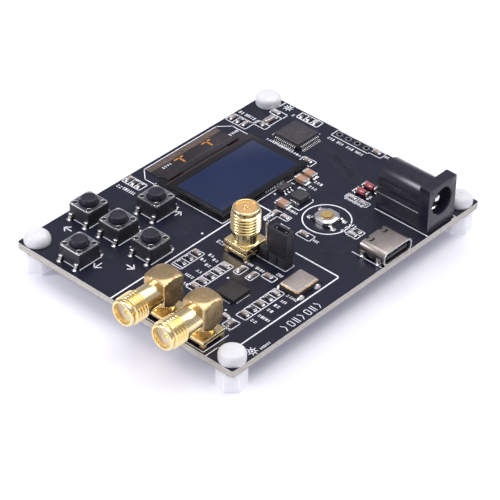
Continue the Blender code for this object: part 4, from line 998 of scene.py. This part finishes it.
def turned_bar(low, high):
    """Square bar turned at both ends.

    At angle t the bar reaches half / max(|cos t|, |sin t|), softened at its corners, and the lathe
    leaves no more than the ends' radius at that height. The surface is the smaller of the two.
    """
    half = 2.87
    count = 192
    angle = (np.arange(count) + 0.5) * 2 * np.pi / count
    square = half * (np.abs(np.cos(angle)) ** 18 + np.abs(np.sin(angle)) ** 18) ** (-1 / 18)
    foot = np.array([(2.2, 0.0), (2.2, 0.55), (2.28, 0.72), (2.45, 0.86), (2.87, 1.25), (3.3, 1.72),
                     (3.7, 2.2), (4.1, 2.7), (4.5, 3.2)])
    crown = np.array([(1.4, 0.0), (2.1, 0.015), (2.45, 0.05), (2.8, 0.17), (3.1, 0.31), (3.5, 0.54),
                      (3.8, 0.74), (4.1, 0.97), (4.5, 1.3)])
    height = np.concatenate([low + foot[:, 1], high - crown[::-1, 1]])
    lathe = np.concatenate([foot[:, 0], crown[::-1, 0]])
    reach = -0.05 * np.logaddexp(-square[None] / 0.05, -lathe[:, None] / 0.05)
    loops = np.stack([reach * np.cos(angle), reach * np.sin(angle), height[:, None] * np.ones_like(reach)], 2)
    return skin(loops)


def make_right_angle_sma(name):
    """Turned square bar on a flange, with a threaded barrel along +X and four legs."""
    low, high = span(name + "_shell")
    x, y = low[0] + 3.2, (low[1] + high[1]) / 2
    top = 9.9
    end = high[0] - x
    start = end - SMA_BARREL
    bar = turned_bar(1.7, top)
    piece(name + "_bar", [bar], "bar_gold", (x, y), stands_for=(name + "_shell",), sharp=28)
    flange = soft_box(6.4, 6.4, 0.72, 1.72, 0.2, 0.07, 3)
    leg = soft_box(1.0, 1.0, -3.0, 0.9, 0.1, 0.08, 2)
    corners = four(PITCH, PITCH)
    root = turned([(2.74, 2.5), (2.74, start + 0.01)], 72)
    shapes = [moved(laid(s, "201"), 0, 0, SMA_AXIS) for s in (barrel(start, SMA_BARREL, 3.8), root)]
    shapes += [flange, copies(leg, corners)]
    piece(name + "_barrel", shapes, "gold", (x, y), sharp=40)
    face, contact, hole = (moved(laid(s, "201"), x, y, SMA_AXIS) for s in mouth_pieces(end))
    piece(name + "_face", [face], "cream", stands_for=(name + "_insulator",))
    piece(name + "_socket", [contact], "gold", stands_for=(name + "_contact",))
    piece(name + "_socket_shade", [hole], "black_and_painted_shade")
    sma_solder(name, x, y)


# Power sockets

def make_jack():
    """Moulded housing: a square front with a round mouth, and a body with a half-round top."""
    low, high = span("dc_jack_housing")
    x = (low[0] + high[0]) / 2
    front = high[1]
    height = high[2]
    half = (high[0] - low[0]) / 2
    count = 96
    angle = (np.arange(count) + 0.5) * 2 * np.pi / count
    middle = height / 2 + 0.025
    reach = (np.abs(np.cos(angle) / half) ** 40 + np.abs(np.sin(angle) / (middle - 0.03)) ** 40) ** (-1 / 40)
    square = np.stack([reach * np.cos(angle), middle + reach * np.sin(angle)], 1)
    disc = np.stack([np.cos(angle), np.sin(angle)], 1)
    mouth = [disc * radius + np.array([0.0, JACK_AXIS]) for radius in (3.32, 3.12, 3.1, 3.1)]
    hub = np.array([0.0, middle])
    rows = [(hub + (square - hub) * 0.985, -2.7), (square, -2.62), (square, -0.1),
            (hub + (square - hub) * 0.996, -0.03), (hub + (square - hub) * 0.985, 0.0), (mouth[0], 0.0),
            (mouth[1], -0.18), (mouth[2], -0.4), (mouth[3], -9.4)]
    loops = [np.stack([r[:, 0], np.full(count, depth), r[:, 1]], 1) for r, depth in rows]
    plate = skin(np.array(loops))
    body_half = 4.18
    section = []
    for sx in (1, -1):
        side = [(body_half, 0.1), (body_half, 3.9), (body_half - 0.12, 4.02), (body_half - 0.35, 4.08)]
        arc = [((body_half - 0.38) * math.cos(a), JACK_AXIS - 0.35 + 4.32 * math.sin(a)) for a in
               np.radians(np.linspace(-22, 90, 22))]
        run = [(sx * px, pz) for px, pz in side + arc[1:]]
        section += run if sx == 1 else run[::-1][1:]
    section = np.array(section)
    centre_z = np.array([0.0, 4.5])
    depth = np.array([-2.5, -13.9, -14.08, -14.15])
    shrink = np.array([1.0, 1.0, 0.985, 0.95])
    loops = [np.stack([s[:, 0], np.full(len(section), d), s[:, 1]], 1)
             for s, d in ((centre_z + (section - centre_z) * k, d) for k, d in zip(shrink, depth))]
    body = skin(np.array(loops))
    piece("dc_jack_front", [plate, body], "jack", (x, front), stands_for=("dc_jack_housing",), sharp=28)
    pin = turned([(0.0, -0.95), (0.45, -1.0), (0.8, -1.25), (0.97, -1.7), (1.0, -2.2), (1.0, -9.6)], 40)
    piece("dc_jack_centre_pin", [laid(pin, "021")], "bright", (x, front, JACK_AXIS),
          stands_for=("dc_jack_pin",))
    lug = soft_box(2.6, 0.4, -3.0, 3.5, 0.1, 0.05, 2)
    piece("dc_jack_lug", [lug], "tin", (x, front - 14.55))
    spring = laid(strip(eased([(-9.0, 2.9), (-6.0, 3.5), (-3.2, 4.3), (-2.4, 4.1), (-1.8, 3.7)], 3), 1.9,
                        0.22), "102")
    piece("dc_jack_leaf", [spring], "bright", (x, front), stands_for=("dc_jack_spring",))
    blob = soft_box(3.4, 1.6, -2.7, -1.58, 0.6, 0.5, 4)
    piece("dc_jack_solder", [moved(blob, x, front - 14.55), moved(blob, x, front - 8.6)], "solder", sharp=60)


def make_usb():
    """Rolled shell open at the back, with a painted highlight round its lip, dimples drawn in painted
    highlight and shade, tabs and a tongue in its mouth.

    The sleeve's outline is a soft rectangle, drawn in at the lip, and its depth runs back along Y. The
    rear part is lower than the roof. Each side has two dark patches in place of cuts, painted shade over
    the dark block inside, and the mouth's well, the open back and the roof's notches are painted shade too.
    """
    low, high = span("usb_shell")
    x = (low[0] + high[0]) / 2
    front, top = high[1], high[2]
    bottom = 0.05
    middle, half_z = (top + bottom) / 2, (top - bottom) / 2
    half_x = 4.47
    roof_length = 6.75

    def ring_at(inset, depth, drop=0.0):
        """Outline of the shell, drawn in by inset, at a depth, with its roof lowered by drop."""
        ring = outline(half_x - inset, half_z - inset, 1.35 - inset, 8)
        ring[:, 1] = np.minimum(ring[:, 1], half_z - inset - drop)
        return np.stack([ring[:, 0], np.full(len(ring), depth), ring[:, 1] + middle], 1)

    rows = [(0.3, -roof_length + 0.05), (0.06, -roof_length), (0.0, -roof_length + 0.06), (0.0, -0.06),
            (0.02, -0.02), (0.08, 0.0), (0.22, 0.0), (0.28, -0.02), (0.3, -0.08), (0.3, -5.2)]
    sleeve = skin(np.array([ring_at(*row) for row in rows]))
    piece("usb_sleeve", [sleeve], "nickel", (x, front), stands_for=("usb_shell",), sharp=35)
    # Painted highlight: a bright ring round the mouth's lip.
    lip = [(0.0, -0.16), (-0.02, -0.04), (0.06, 0.0), (0.26, 0.0), (0.34, -0.05), (0.26, -0.2)]
    piece("usb_lip_highlight", [skin(np.array([ring_at(*row) for row in lip]), False)], "pale_solder_and_highlight", (x, front),
          sharp=60)
    # Painted shade across the open back.
    rear = skin(np.array([ring_at(0.35, -7.3, 0.75), ring_at(0.3, -7.25, 0.7), ring_at(0.3, -6.6, 0.7)]))
    plug = skin(np.array([ring_at(0.36, -7.1, 0.4), ring_at(0.36, -5.1, 0.4)]))
    blade = laid(soft_box(6.7, 0.85, -6.0, -0.35, 0.2, 0.08, 2), "021")
    # Painted shade in the mouth's well.
    well = skin(np.array([ring_at(0.31, -5.15), ring_at(0.31, -0.5), ring_at(0.36, -0.5),
                          ring_at(0.36, -5.15)]), False)
    piece("usb_blade", [moved(plug, x, front), moved(blade, x, front, middle)], "button",
          stands_for=("usb_tongue",))
    piece("usb_well_shade", [well, rear], "black_and_painted_shade", (x, front))
    tab = soft_box(0.3, 1.1, -2.1, 1.5, 0.08, 0.05, 2)
    places = [(sx * 4.4, -back) for sx in (-1, 1) for back in (1.6, 5.8)]
    foot = soft_box(0.65, 1.0, 0.0, 0.26, 0.2, 0.12, 3)
    pads = [(sx * 4.6, -back) for sx in (-1, 1) for back in (1.6, 5.8)]
    piece("usb_tabs", [copies(tab, places)], "bright", (x, front))
    piece("usb_solder", [copies(foot, pads)], "solder", (x, front), sharp=60)
    corner = np.stack([outline(half_x + grow, half_z + grow, 1.35 + grow, 8)[27:] for grow in (0.012, -0.05)])
    edge = np.concatenate([corner[0], corner[1][::-1]])
    # Dark patches in place of the side cuts: painted shade over the dark block inside.
    for sx in (-1, 1):
        flaps = [np.stack([np.stack([sx * edge[:, 0], np.full(len(edge), d), edge[:, 1] + middle], 1)
                           for d in ends]) for ends in ((-6.3, -4.2), (-3.1, -0.9))]
        piece("usb_cut_shade_" + ("left" if sx < 0 else "right"), [moved(skin(f), x, front) for f in flaps],
              "black_and_painted_shade")
    finger = laid(soft_box(0.26, 0.04, -4.6, -0.8, 0.015, 0.01, 1), "021")
    fingers = [(step * 0.5, 0.0, side * 0.43 + middle) for step in np.arange(12) - 5.5 for side in (-1, 1)]
    piece("usb_fingers", [copies(finger, fingers)], "gold", (x, front))
    # Each dimple is a crescent of painted highlight with a crescent of painted shade behind it.
    turn = np.radians(np.linspace(20, 160, 15))
    arc = np.stack([0.8 * np.cos(turn), 0.55 * np.sin(turn)], 1)
    for name, look, width, shift in (("usb_dimple_highlights", "pale_solder_and_highlight", 0.26, 0.0),
                                     ("usb_dimple_shade", "black_and_painted_shade", 0.14, -0.2)):
        crescents = bars(chain(arc, width), top - 0.01, top + 0.02)
        piece(name, [moved(crescents, x + dx, front - roof_length + 1.1 + shift) for dx in (-2.1, 2.1)], look)
    # Painted shade: dark patches in place of notches in the roof's rear edge.
    notch = soft_box(0.9, 0.5, top - 0.02, top + 0.006, 0.05, 0.01, 2)
    notches = [(-2.1, -roof_length + 0.27), (2.1, -roof_length + 0.27)]
    piece("usb_notch_shade", [copies(notch, notches)], "black_and_painted_shade", (x, front))


# Printed marks

def scribble(x, y, count, pitch, height, width, seed, along=(1.0, 0.0)):
    """Rows for small marks in place of lettering: dashes and short bars in pairs, never letters."""
    generator = np.random.default_rng(seed)
    ahead = np.array(along)
    up = np.array([-ahead[1], ahead[0]])
    rows = []
    for index in range(count):
        foot = np.array([x, y]) + ahead * pitch * index
        kind = generator.integers(0, 4)
        run = ahead * pitch * 0.62
        if kind == 0:
            lines = [(up * 0.05, up * 0.95), (run + up * 0.05, run + up * 0.95)]
        elif kind == 1:
            lines = [(up * 0.15, up * 0.15 + run), (up * 0.5, up * 0.5 + run), (up * 0.85, up * 0.85 + run)]
        elif kind == 2:
            lines = [(up * 0.2, up * 0.2 + run), (up * 0.8, up * 0.8 + run)]
        else:
            lines = [(run * 0.5 + up * 0.05, run * 0.5 + up * 0.95), (up * 0.2, up * 0.2 + run)]
        for a, b in lines:
            a = foot + ahead * np.dot(a, ahead) + up * np.dot(a, up) * height
            b = foot + ahead * np.dot(b, ahead) + up * np.dot(b, up) * height
            rows.append((*a, *b, width))
    return rows


def arrow(x, y, dx, dy, size, width):
    """Rows for an arrow that starts at (x, y) and points along (dx, dy)."""
    ahead = np.array([dx, dy], float) * size
    side = np.array([-ahead[1], ahead[0]]) * 0.45
    tip = np.array([x, y]) + ahead
    neck = tip - ahead * 0.5
    return chain([(x, y), tip], width) + chain([neck + side, tip, neck - side], width)


def sun(x, y):
    """Rows for the eight rays of an aiming mark."""
    rows = []
    for step in range(8):
        a = step * math.pi / 4 + 0.2
        c, s = math.cos(a), math.sin(a)
        rows.append((x + 0.75 * c, y + 0.75 * s, x + 1.25 * c, y + 1.25 * s, 0.16))
    return rows


# Printed boxes and strokes: x0, y0, x1, y1 and width
BOXES = [
    (43.75, 38.85, 46.5, 46.7, 0.16), (0.2, 21.3, 2.75, 31.8, 0.18), (0.2, 31.8, 2.25, 34.9, 0.16),
    (11.3, 0.3, 14.3, 6.2, 0.16), (9.6, 5.9, 11.4, 9.5, 0.18), (3.7, 5.5, 5.5, 9.4, 0.2),
    (0.5, 11.1, 2.8, 17.1, 0.22), (12.95, 22.6, 15.3, 26, 0.2), (31.8, 31, 35.9, 32.85, 0.18),
    (31.8, 32.85, 33.5, 35.5, 0.18), (33.4, 39.7, 35.5, 43.4, 0.18), (25.2, 47.1, 28.2, 50, 0.18),
    (44.3, 0.35, 46.9, 5.5, 0.2), (53.4, 28.1, 60.5, 30.8, 0.18), (52.5, 35.3, 63.9, 38, 0.2),
    (50.8, 38.95, 53.8, 40.6, 0.2), (50.7, 42, 53.6, 43.55, 0.2), (49.2, 44.05, 51, 47.1, 0.2),
    (51.9, 48.75, 63.65, 51.35, 0.2), (65, 48.8, 67.8, 51.3, 0.2), (16.65, 38.4, 18.4, 44.3, 0.18)]
STROKES = [
    (11.3, 2.25, 14.3, 2.25, 0.16), (11.3, 4.1, 14.3, 4.1, 0.16), (2.7, 5.6, 0.2, 5.75, 0.28),
    (0.5, 13.05, 2.8, 13.05, 0.22), (0.5, 15, 2.8, 15, 0.22), (26.7, 47.1, 26.7, 50, 0.16),
    (44.3, 2.1, 46.9, 2.1, 0.18), (44.3, 3.8, 46.9, 3.8, 0.18), (10.9, 38.35, 12.6, 38.35, 0.3),
    (13.9, 38.35, 15.7, 38.35, 0.3), (16, 42.6, 15.1, 43, 0.22), (16.65, 41.3, 18.4, 41.3, 0.18),
    (61.4, 18.1, 62.4, 18.1, 0.2), (61.4, 18.7, 62.4, 18.7, 0.2)]
# Printed lines: width, and the points they join
LINES = [
    (0.32, [(76.8, 27.15), (40.9, 27)]), (0.32, [(40.28, 44.1), (40.28, 55.7), (72, 55.72)]),
    (0.2, [(76.9, 53.1), (73.6, 53.1), (72.3, 54.4)]), (0.32, [(33.1, 27.4), (33.1, 30.6)]),
    (0.2, [(15.3, 7.8), (15.3, 3.35), (17.9, 0.9), (40.6, 0.9), (43.05, 3.55), (43.05, 6.4), (40.1, 6.4)]),
    (0.22, [(43.3, 6.4), (43.3, 26.35), (19.9, 26.35)]), (0.18, [(9.4, 9.3), (5.6, 9.3)]),
    (0.22, [(28.85, 32.2), (28.8, 34.9), (24.4, 34.9), (23.8, 34.3)]),
    (0.2, [(76.5, 44.9), (76.5, 52.05), (69.4, 52.05)]), (0.2, [(76.5, 34.2), (76.5, 41.3), (69.4, 41.3)]),
    (0.24, [(17.15, 45.9), (17.15, 60)]), (0.2, [(9, 60.05), (7.7, 60.05), (7.7, 58.4)]),
    (0.22, [(31.95, 52.2), (31.95, 59.95)]), (0.22, [(22.7, 52.2), (22.7, 59.95)])]
# Marks in place of lettering: x, y, how many, how far apart, how tall, and a direction other than +Y
LABELS = [
    (13.95, 12.1, 15, 0.72, 0.6), (10.4, 0.6, 2, 0.75, 1), (10.4, 2.4, 2, 0.75, 1), (10.4, 4, 2, 0.75, 1),
    (4.35, 21.5, 3, 0.65, 0.8), (4.35, 24.1, 3, 0.65, 0.8), (4.35, 26.8, 3, 0.7, 0.8),
    (4.35, 29.5, 3, 0.72, 0.8), (1.4, 35, 2, 0.8, 0.8), (19, 30.3, 3, 0.8, 0.8), (21.1, 30.6, 3, 0.75, 0.8),
    (23, 29.2, 3, 0.72, 0.8), (30.4, 33.3, 3, 0.8, 0.8), (35.4, 35.1, 4, 0.66, 0.6),
    (34.9, 43.9, 2, 0.75, 0.8), (49.2, 0.8, 2, 0.8, 1), (49, 2.6, 2, 0.8, 1), (49, 4.5, 2, 0.8, 1),
    (53.3, 31.5, 2, 0.8, 0.8), (55.5, 31.3, 2, 0.8, 0.8), (53.9, 33.2, 2, 0.8, 0.8),
    (56.2, 33.2, 2, 0.8, 0.8), (58.9, 33.3, 2, 0.8, 0.8), (61.3, 32.6, 3, 0.75, 0.8),
    (63.7, 34.2, 2, 0.6, 0.8), (50, 38.5, 3, 0.75, 0.8), (49.9, 41.4, 3, 0.75, 0.8),
    (48.6, 45.9, 2, 0.8, 0.9), (63.1, 52, 2, 0.85, 0.8), (61, 52.1, 4, 0.75, 0.8), (58.4, 52.2, 2, 0.8, 0.8),
    (56.4, 52.2, 2, 0.8, 0.8), (54.5, 52.2, 2, 0.8, 0.8), (52.4, 52, 4, 0.75, 0.8),
    (68.3, 50.1, 2, 0.75, 0.8), (48.9, 29.6, 3, 0.75, 1.2), (65.3, 59.1, 4, 0.75, 0.6, (1, 0)),
    (18.9, 38.8, 6, 0.85, 0.9), (3.2, 10, 1, 0.8, 0.8), (24.6, 45.5, 3, 1.4, 1.8, (1, 0))]


def make_print():
    """White printed lines, boxes, rings and marks on the board's top face."""
    rows = sum((frame_of(*box) for box in BOXES), list(STROKES))
    for width, points in LINES:
        rows += chain(points, width)
    rows += [(x, 28.1, x, 30.8, 0.16) for x in (55.5, 57.7, 59.9)]
    rows += [(x, 35.3, x, 38.0, 0.18) for x in (54.8, 57.0, 59.3, 61.6)]
    rows += [(x, 48.75, x, 51.35, 0.18) for x in (54.25, 56.6, 58.95, 61.3)]
    for x, y in SWITCHES.values():
        rows += [(x + 3.12, y - 1.45, x + 3.12, y + 1.45, 0.2), (x - 3.12, y - 1.45, x - 3.12, y + 1.45, 0.2)]
        rows += chain([(x + 3.0, y + 3.1), (x - 3.0, y + 3.1)], 0.2)
        rows += chain([(x + 2.9, y - 3.1), (x - 2.9, y - 3.1)], 0.2)
        rows += [(x - 3.0, y + 3.1, x - 3.5, y + 2.7, 0.2)]
    rows += arrow(66.8, 5.4, 0.0, -1.0, 2.0, 0.26)
    rows += arrow(70.2, 17.7, 1.0, 0.0, 2.1, 0.26)
    rows += arrow(67.0, 21.9, 0.0, 1.0, 2.0, 0.26)
    rows += arrow(48.0, 17.2, -1.0, 0.0, 1.8, 0.24)
    rows += sun(1.3, 7.5) + sun(69.8, 58.7)
    for index, (x, y, count, pitch, height, *along) in enumerate(LABELS):
        rows += scribble(x, y, count, pitch, height, 0.21, 100 + index, *(along or [(0, 1)]))
    for index in range(7):
        x = 60.3 - index * 1.66
        kind = index % 3
        if kind == 0:
            rows += chain([(x, 57.6), (x - 0.55, 58.55), (x, 59.5)], 0.17)
        elif kind == 1:
            rows += frame_of(x - 0.9, 57.7, x, 59.4, 0.17)
        else:
            rows += [(x - 0.1, 57.6, x - 0.1, 59.5, 0.17), (x - 0.65, 57.6, x - 0.65, 59.5, 0.17)]
    shapes = [bars(rows)]
    x, y = centre("reset_plunger")
    shapes.append(moved(band(5.2, 0.27, 0, INK, 96), x, y))
    shapes += [moved(band(0.62, 0.2, 0, INK, 24), px, py) for px, py in ((1.3, 7.5), (69.8, 58.7))]
    spot = turned([(0.26, 0.0), (0.26, INK), (0.0, INK)], 16)
    shapes.append(copies(spot, [(56.0, 39.6), (48.7, 25.6), (63.9, 46.3), (1.3, 7.5), (69.8, 58.7),
                                (27.9, 27.2)]))
    piece("board_print", shapes, "ink")
    # Light dashes on the glass's back side face, drawn in the white ink finish.
    edge_marks = bars(scribble(23.9, 0.45, 9, 0.66, 0.55, 0.11, 301), 0.0, 0.02)
    back = span("display_glass")[1][1]
    piece("display_edge_marks", [laid(edge_marks, "021")], "ink", (0, back - 0.005, 0))
    tail_marks = bars(scribble(35.2, 3.3, 4, 0.7, 0.7, 0.2, 302) + scribble(15.9, 5.1, 4, 0.75, 0.8, 0.18,
                                                                            303), 0.165, 0.195)
    piece("tail_print", [tail_marks], "ink")


def make_traces():
    """Copper runs under the mask: bundles that leave a chip, turn once by 45 degrees, and go on."""
    rows = []
    bundles = [((12.9, 15.6), (1, 0), (1, 1), 5.0, 3.0, 6), ((9.0, 21.2), (0, 1), (1, 1), 6.0, 5.0, 7),
               ((5.2, 20.5), (0, 1), (-1, 1), 2.0, 1.0, 4), ((44.5, 8.0), (1, 0), (1, -1), 4.0, 2.0, 4),
               ((62.0, 41.0), (1, 0), (1, -1), 2.5, 1.4, 4), ((22.0, 36.0), (0, 1), (1, 1), 4.0, 3.0, 5),
               ((36.5, 47.0), (0, 1), (-1, 1), 3.0, 2.5, 5), ((10.0, 27.0), (0, 1), (1, 1), 5.0, 4.0, 6),
               ((30.0, 50.0), (1, 0), (1, -1), 3.0, 2.5, 4), ((45.0, 20.0), (1, 0), (1, 1), 3.0, 2.0, 5)]
    for (x, y), first, second, run, skew, count in bundles:
        first = np.array(first, float)
        second = np.array(second, float) / math.sqrt(2)
        side = np.array([-first[1], first[0]])
        for lane in range(count):
            start = np.array([x, y]) + side * lane * 0.42
            bend = start + first * run
            turn = bend + second * skew
            rows += chain([start, bend, turn, turn + first * run * 1.2], 0.16)
    piece("buried_traces", [bars(rows, -0.01, 0.01)], "copper")


FOCAL_LENGTH = 165.74
CAMERA_PLACE = (327.741, 285.571, 285.992)
CAMERA_AWAY = (0.5963478, 0.5271281, 0.6053968)
CAMERA_UP = (-0.437968, -0.4183735, 0.7957057)


def make_stage():
    """Pale floor, soft studio light, and the camera."""
    mesh = bpy.data.meshes.new("floor")
    reach = 3.0
    mesh.from_pydata([(-reach, -reach, 0), (reach, -reach, 0), (reach, reach, 0), (-reach, reach, 0)], [],
                     [(0, 1, 2, 3)])
    floor = bpy.data.objects.new("floor", mesh)
    bpy.context.scene.collection.objects.link(floor)
    paper = bpy.data.materials.new("pale_floor")
    paper.use_nodes = True
    for name, value in (("Base Color", (0.8, 0.8, 0.8, 1)), ("Roughness", 0.9),
                        ("Specular IOR Level", 0.0), ("Emission Color", (0.8, 0.78, 1.0, 1)),
                        ("Emission Strength", 0.22)):
        paper.node_tree.nodes["Principled BSDF"].inputs[name].default_value = value
    mesh.materials.append(paper)
    world = bpy.data.worlds.new("studio")
    bpy.context.scene.world = world
    world.use_nodes = True
    tree = world.node_tree
    where = node(tree, "TexCoord")
    split = node(tree, "SeparateXYZ")
    sky = ramp(tree, (0.0, (0.44, 0.44, 0.52)), (0.6, (0.36, 0.36, 0.42)), (1.0, (0.8, 0.8, 0.86)))
    wire(tree, (where, "Generated", split, "Vector"), (split, "Z", sky, "Fac"),
         (sky, "Color", tree.nodes["Background"], "Color"))
    lamps = [
        # name, azimuth, elevation, distance, size, watts, colour
        ("key", 240.0, 80.0, 0.8, 0.7, 3.3, (1.0, 0.99, 0.97)),
        ("left_fill", 50.0, 36.0, 0.7, 0.2, 2.0, (0.94, 0.93, 1.0)),
        ("right_fill", 250.0, 42.0, 0.7, 0.25, 1.1, (0.97, 0.98, 1.0)),
    ]
    for name, azimuth, elevation, distance, size, watts, colour in lamps:
        lamp = bpy.data.lights.new(name, "AREA")
        lamp.shape, lamp.size, lamp.energy, lamp.color = "SQUARE", size, watts, colour
        holder = bpy.data.objects.new(name, lamp)
        a, e = math.radians(azimuth), math.radians(elevation)
        away = Vector((math.sin(a) * math.cos(e), -math.cos(a) * math.cos(e), math.sin(e)))
        holder.location = away * distance
        holder.rotation_mode = "QUATERNION"
        holder.rotation_quaternion = (-away).to_track_quat("-Z", "Y")
        bpy.context.scene.collection.objects.link(holder)
    lens = bpy.data.cameras.new("camera")
    lens.lens, lens.sensor_width = FOCAL_LENGTH, 36.0
    lens.clip_start, lens.clip_end = 0.01, 20.0
    camera = bpy.data.objects.new("camera", lens)
    away = Vector(CAMERA_AWAY).normalized()
    up = Vector(CAMERA_UP).normalized()
    right = up.cross(away).normalized()
    axes = Matrix((right, away.cross(right), away)).transposed()
    place = CORNER + np.array(CAMERA_PLACE) * MM
    camera.matrix_world = Matrix.Translation(Vector(place)) @ axes.to_4x4()
    bpy.context.scene.collection.objects.link(camera)
    bpy.context.scene.camera = camera
    bpy.context.scene.view_settings.view_transform = "Standard"


make_stage()
make_board()
make_feet()
make_switches()
make_reset()
make_display()
make_microcontroller()
make_synthesizer()
make_oscillator()
make_regulator()
make_crystal()
make_inductor()
make_diodes()
make_bulk_capacitors()
make_chips()
make_header()
make_upright_sma()
make_right_angle_sma("front_sma")
make_right_angle_sma("back_sma")
make_jack()
make_usb()
make_traces()
make_print()
